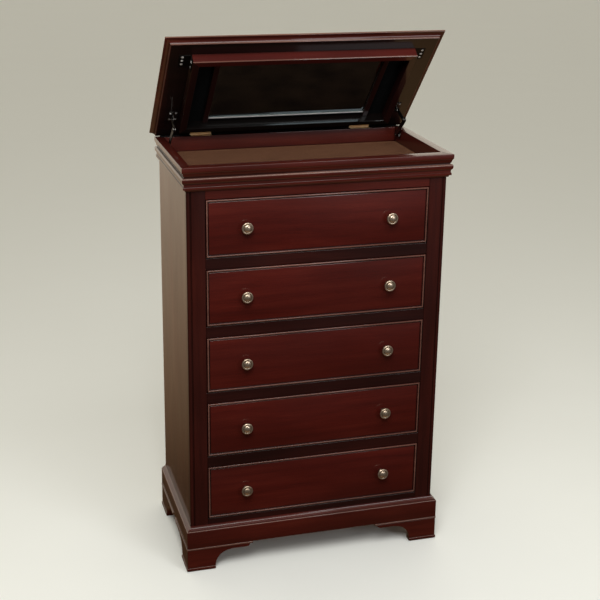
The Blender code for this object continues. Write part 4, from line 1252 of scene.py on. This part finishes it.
def make_stay(hand, side):
    """One folding stay: case bracket, arm, link and lid bracket, each in its own plane."""
    case_pivot, lid_pivot, elbow = at(CASE_PIVOT), at(LID_PIVOT), at(ELBOW)
    hole = 0.0026
    ear_in, ear_out = 0.3470, 0.3490
    link_in, link_out = 0.3515, 0.3540
    arm_in, arm_out = 0.3565, 0.3590
    node = f"stay_{hand}_case_bracket"
    plate_out = max(abs(corner.x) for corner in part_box(node))
    plate_in = plate_out - 0.0015

    bm = bmesh.new()
    ends = [(case_pivot[0] + shift, case_pivot[1]) for shift in (-0.008, 0.008)]
    extrude_x(bm, stadium(*ends, 0.012), (side * plate_in, side * plate_out))
    turned(bm, place(0.0, *case_pivot), (side, 0.0, 0.0),
           [(arm_out + GAP, 0.0042), (plate_in + 0.0002, 0.0042)], 24)
    rivet(bm, case_pivot, side, arm_in - GAP, arm_out + GAP, 0.0050)
    make(f"{node}_plate", bm, STEEL, "case", [node], bevel=0.00025)
    bm = bmesh.new()
    for i, shift in enumerate((-0.0135, 0.0135)):
        spot = place(side * plate_in, case_pivot[0] + shift, case_pivot[1])
        screw(bm, spot, (-side, 0.0, 0.0), 0.0031, 0.4 + i)
    make(f"{node}_screws", bm, ZINC, "case")

    node = f"stay_{hand}_arm"
    bm = bmesh.new()
    pierced(bm, stadium(case_pivot, elbow, 0.0075), [circle(case_pivot, hole, 24)],
            (side * arm_in, side * arm_out))
    rivet(bm, elbow, side, link_in - GAP, arm_out)
    make(f"{node}_bar", bm, STEEL, "stay_arms", [node], bevel=0.0003)

    node = f"stay_{hand}_link"
    bm = bmesh.new()
    pierced(bm, stadium(lid_pivot, elbow, 0.0065), [circle(lid_pivot, hole, 24), circle(elbow, hole, 24)],
            (side * link_in, side * link_out))
    make(f"{node}_bar", bm, STEEL, "stay_links", [node], bevel=0.0003)

    node = f"stay_{hand}_lid_bracket"
    under = LID_UNDERSIDE - GAP
    ear = arc(lid_pivot, 0.0070, 180, 360, 16)
    ear += [(lid_pivot[0] + 0.009, under - 0.0002), (lid_pivot[0] - 0.009, under - 0.0002)]
    bm = bmesh.new()
    extrude_x(bm, ear, (side * ear_in, side * ear_out))
    corner = 0.003
    width = (0.3340, 0.3625)
    depth = (lid_pivot[0] - 0.018, lid_pivot[0] + 0.022)
    plate = arc((width[0] + corner, depth[0] + corner), corner, 180, 270, 5)
    plate += arc((width[1] - corner, depth[0] + corner), corner, 270, 360, 5)
    plate += arc((width[1] - corner, depth[1] - corner), corner, 0, 90, 5)
    plate += arc((width[0] + corner, depth[1] - corner), corner, 90, 180, 5)
    extrude_up(bm, [(side * x, d) for x, d in plate], (under - 0.0015, under))
    rivet(bm, lid_pivot, side, ear_in, link_out + GAP)
    make(f"{node}_plate", bm, STEEL, "lid", [node], bevel=0.00025)
    bm = bmesh.new()
    for i, (x, d) in enumerate(((0.3400, -0.012), (0.3400, 0.016), (0.3565, -0.012), (0.3565, 0.016))):
        spot = place(side * x, lid_pivot[0] + d, under - 0.0015)
        screw(bm, spot, (0.0, 0.0, -1.0), 0.0029, 0.4 + i)
    make(f"{node}_screws", bm, ZINC, "lid")


# ---------------------------------------------------------------- stage
def make_stage():
    bm = bmesh.new()
    bmesh.ops.create_grid(bm, x_segments=1, y_segments=1, size=40.0)
    mesh = bpy.data.meshes.new("floor")
    bm.to_mesh(mesh)
    bm.free()
    mesh.materials.append(pale_floor())
    floor = bpy.data.objects.new("floor", mesh)
    floor.visible_glossy = False
    floor.visible_diffuse = False
    bpy.context.scene.collection.objects.link(floor)


def make_lamp(name, spot, target, size, power, tint):
    light = bpy.data.lights.new(name, "AREA")
    light.shape = "RECTANGLE"
    light.size, light.size_y = size
    light.energy = power
    light.color = tint
    lamp = bpy.data.objects.new(name, light)
    lamp.location = spot
    lamp.rotation_euler = (Vector(target) - Vector(spot)).to_track_quat("-Z", "Y").to_euler()
    bpy.context.scene.collection.objects.link(lamp)


def make_world():
    """Soft room light: bright overhead and towards the wall, dimmer low down in front."""
    world = bpy.data.worlds.new("studio")
    world.use_nodes = True
    bpy.context.scene.world = world
    w = Nodes(world.node_tree)
    direction = w.add("TexCoord").outputs["Generated"]
    _, forward, upward = w.add("SeparateXYZ", {0: direction}).outputs
    overhead = w.between(upward, 0.25, 0.9, 0.04, 0.50)
    behind = w.between(forward, 0.2, 0.9)
    wall = w.between(upward, -0.47, -0.10, 0.03, 0.92)
    underfoot = w.between(upward, -0.70, -0.95, 0.0, 0.45)
    total = w.math("ADD", w.math("ADD", overhead, w.math("MULTIPLY", behind, wall)), underfoot)
    height = w.between(upward, -0.48, -0.05)
    backdrop = w.tree.nodes["Background"]
    w.feed(backdrop.inputs["Color"], w.mix(height, colour(0.90, 0.52, 0.24), colour(1.0, 0.93, 0.78)))
    w.feed(backdrop.inputs["Strength"], total)


def make_camera():
    """The viewpoint: ahead of the left front corner, a little above the lid."""
    pitch, yaw, roll = math.radians(17.58), math.radians(15.94), math.radians(0.67)
    forward = Vector((
        math.sin(yaw) * math.cos(pitch), math.cos(yaw) * math.cos(pitch), -math.sin(pitch),
    ))
    level = Vector((math.cos(yaw), -math.sin(yaw), 0.0))
    upward = level.cross(forward)
    right = level * math.cos(roll) + upward * math.sin(roll)
    up = upward * math.cos(roll) - level * math.sin(roll)
    camera = bpy.data.cameras.new("camera")
    camera.lens = 73.34
    camera.sensor_width = 36.0
    camera.shift_x = 0.0183
    camera.shift_y = -0.0700
    viewer = bpy.data.objects.new("camera", camera)
    turn = Matrix((right, up, -forward)).transposed().to_4x4()
    viewer.matrix_world = Matrix.Translation((-0.9878, -3.3525, 1.9915)) @ turn
    bpy.context.scene.collection.objects.link(viewer)
    bpy.context.scene.camera = viewer


make_camera()
make_world()
make_stage()
make_lamp("key", (-1.1, -2.7, 3.2), (0.0, 0.0, 0.8), (1.2, 1.2), 52.0, (1.0, 0.97, 0.92))
make_lamp("overhead", (-0.2, -1.7, 3.4), (0.0, 0.0, 0.9), (2.6, 1.3), 48.0, (1.0, 0.98, 0.94))
make_lamp("fill", (1.5, -3.3, 1.75), (0.0, 0.0, 1.0), (1.2, 1.2), 24.0, (0.97, 0.98, 1.0))
bpy.context.scene.view_settings.view_transform = "Standard"

make_top_frame()
make_rear_wall()
make_seal()
make_plinth()
make_posts()
make_case()
make_back_nails()
make_till_lining()
make_feet()
make_drawers()
make_lid_panel()
make_mirror_frame()
make_mirror()
make_frame_brackets()
make_hinges()
for lean, hand in HANDS:
    make_stay(hand, lean)
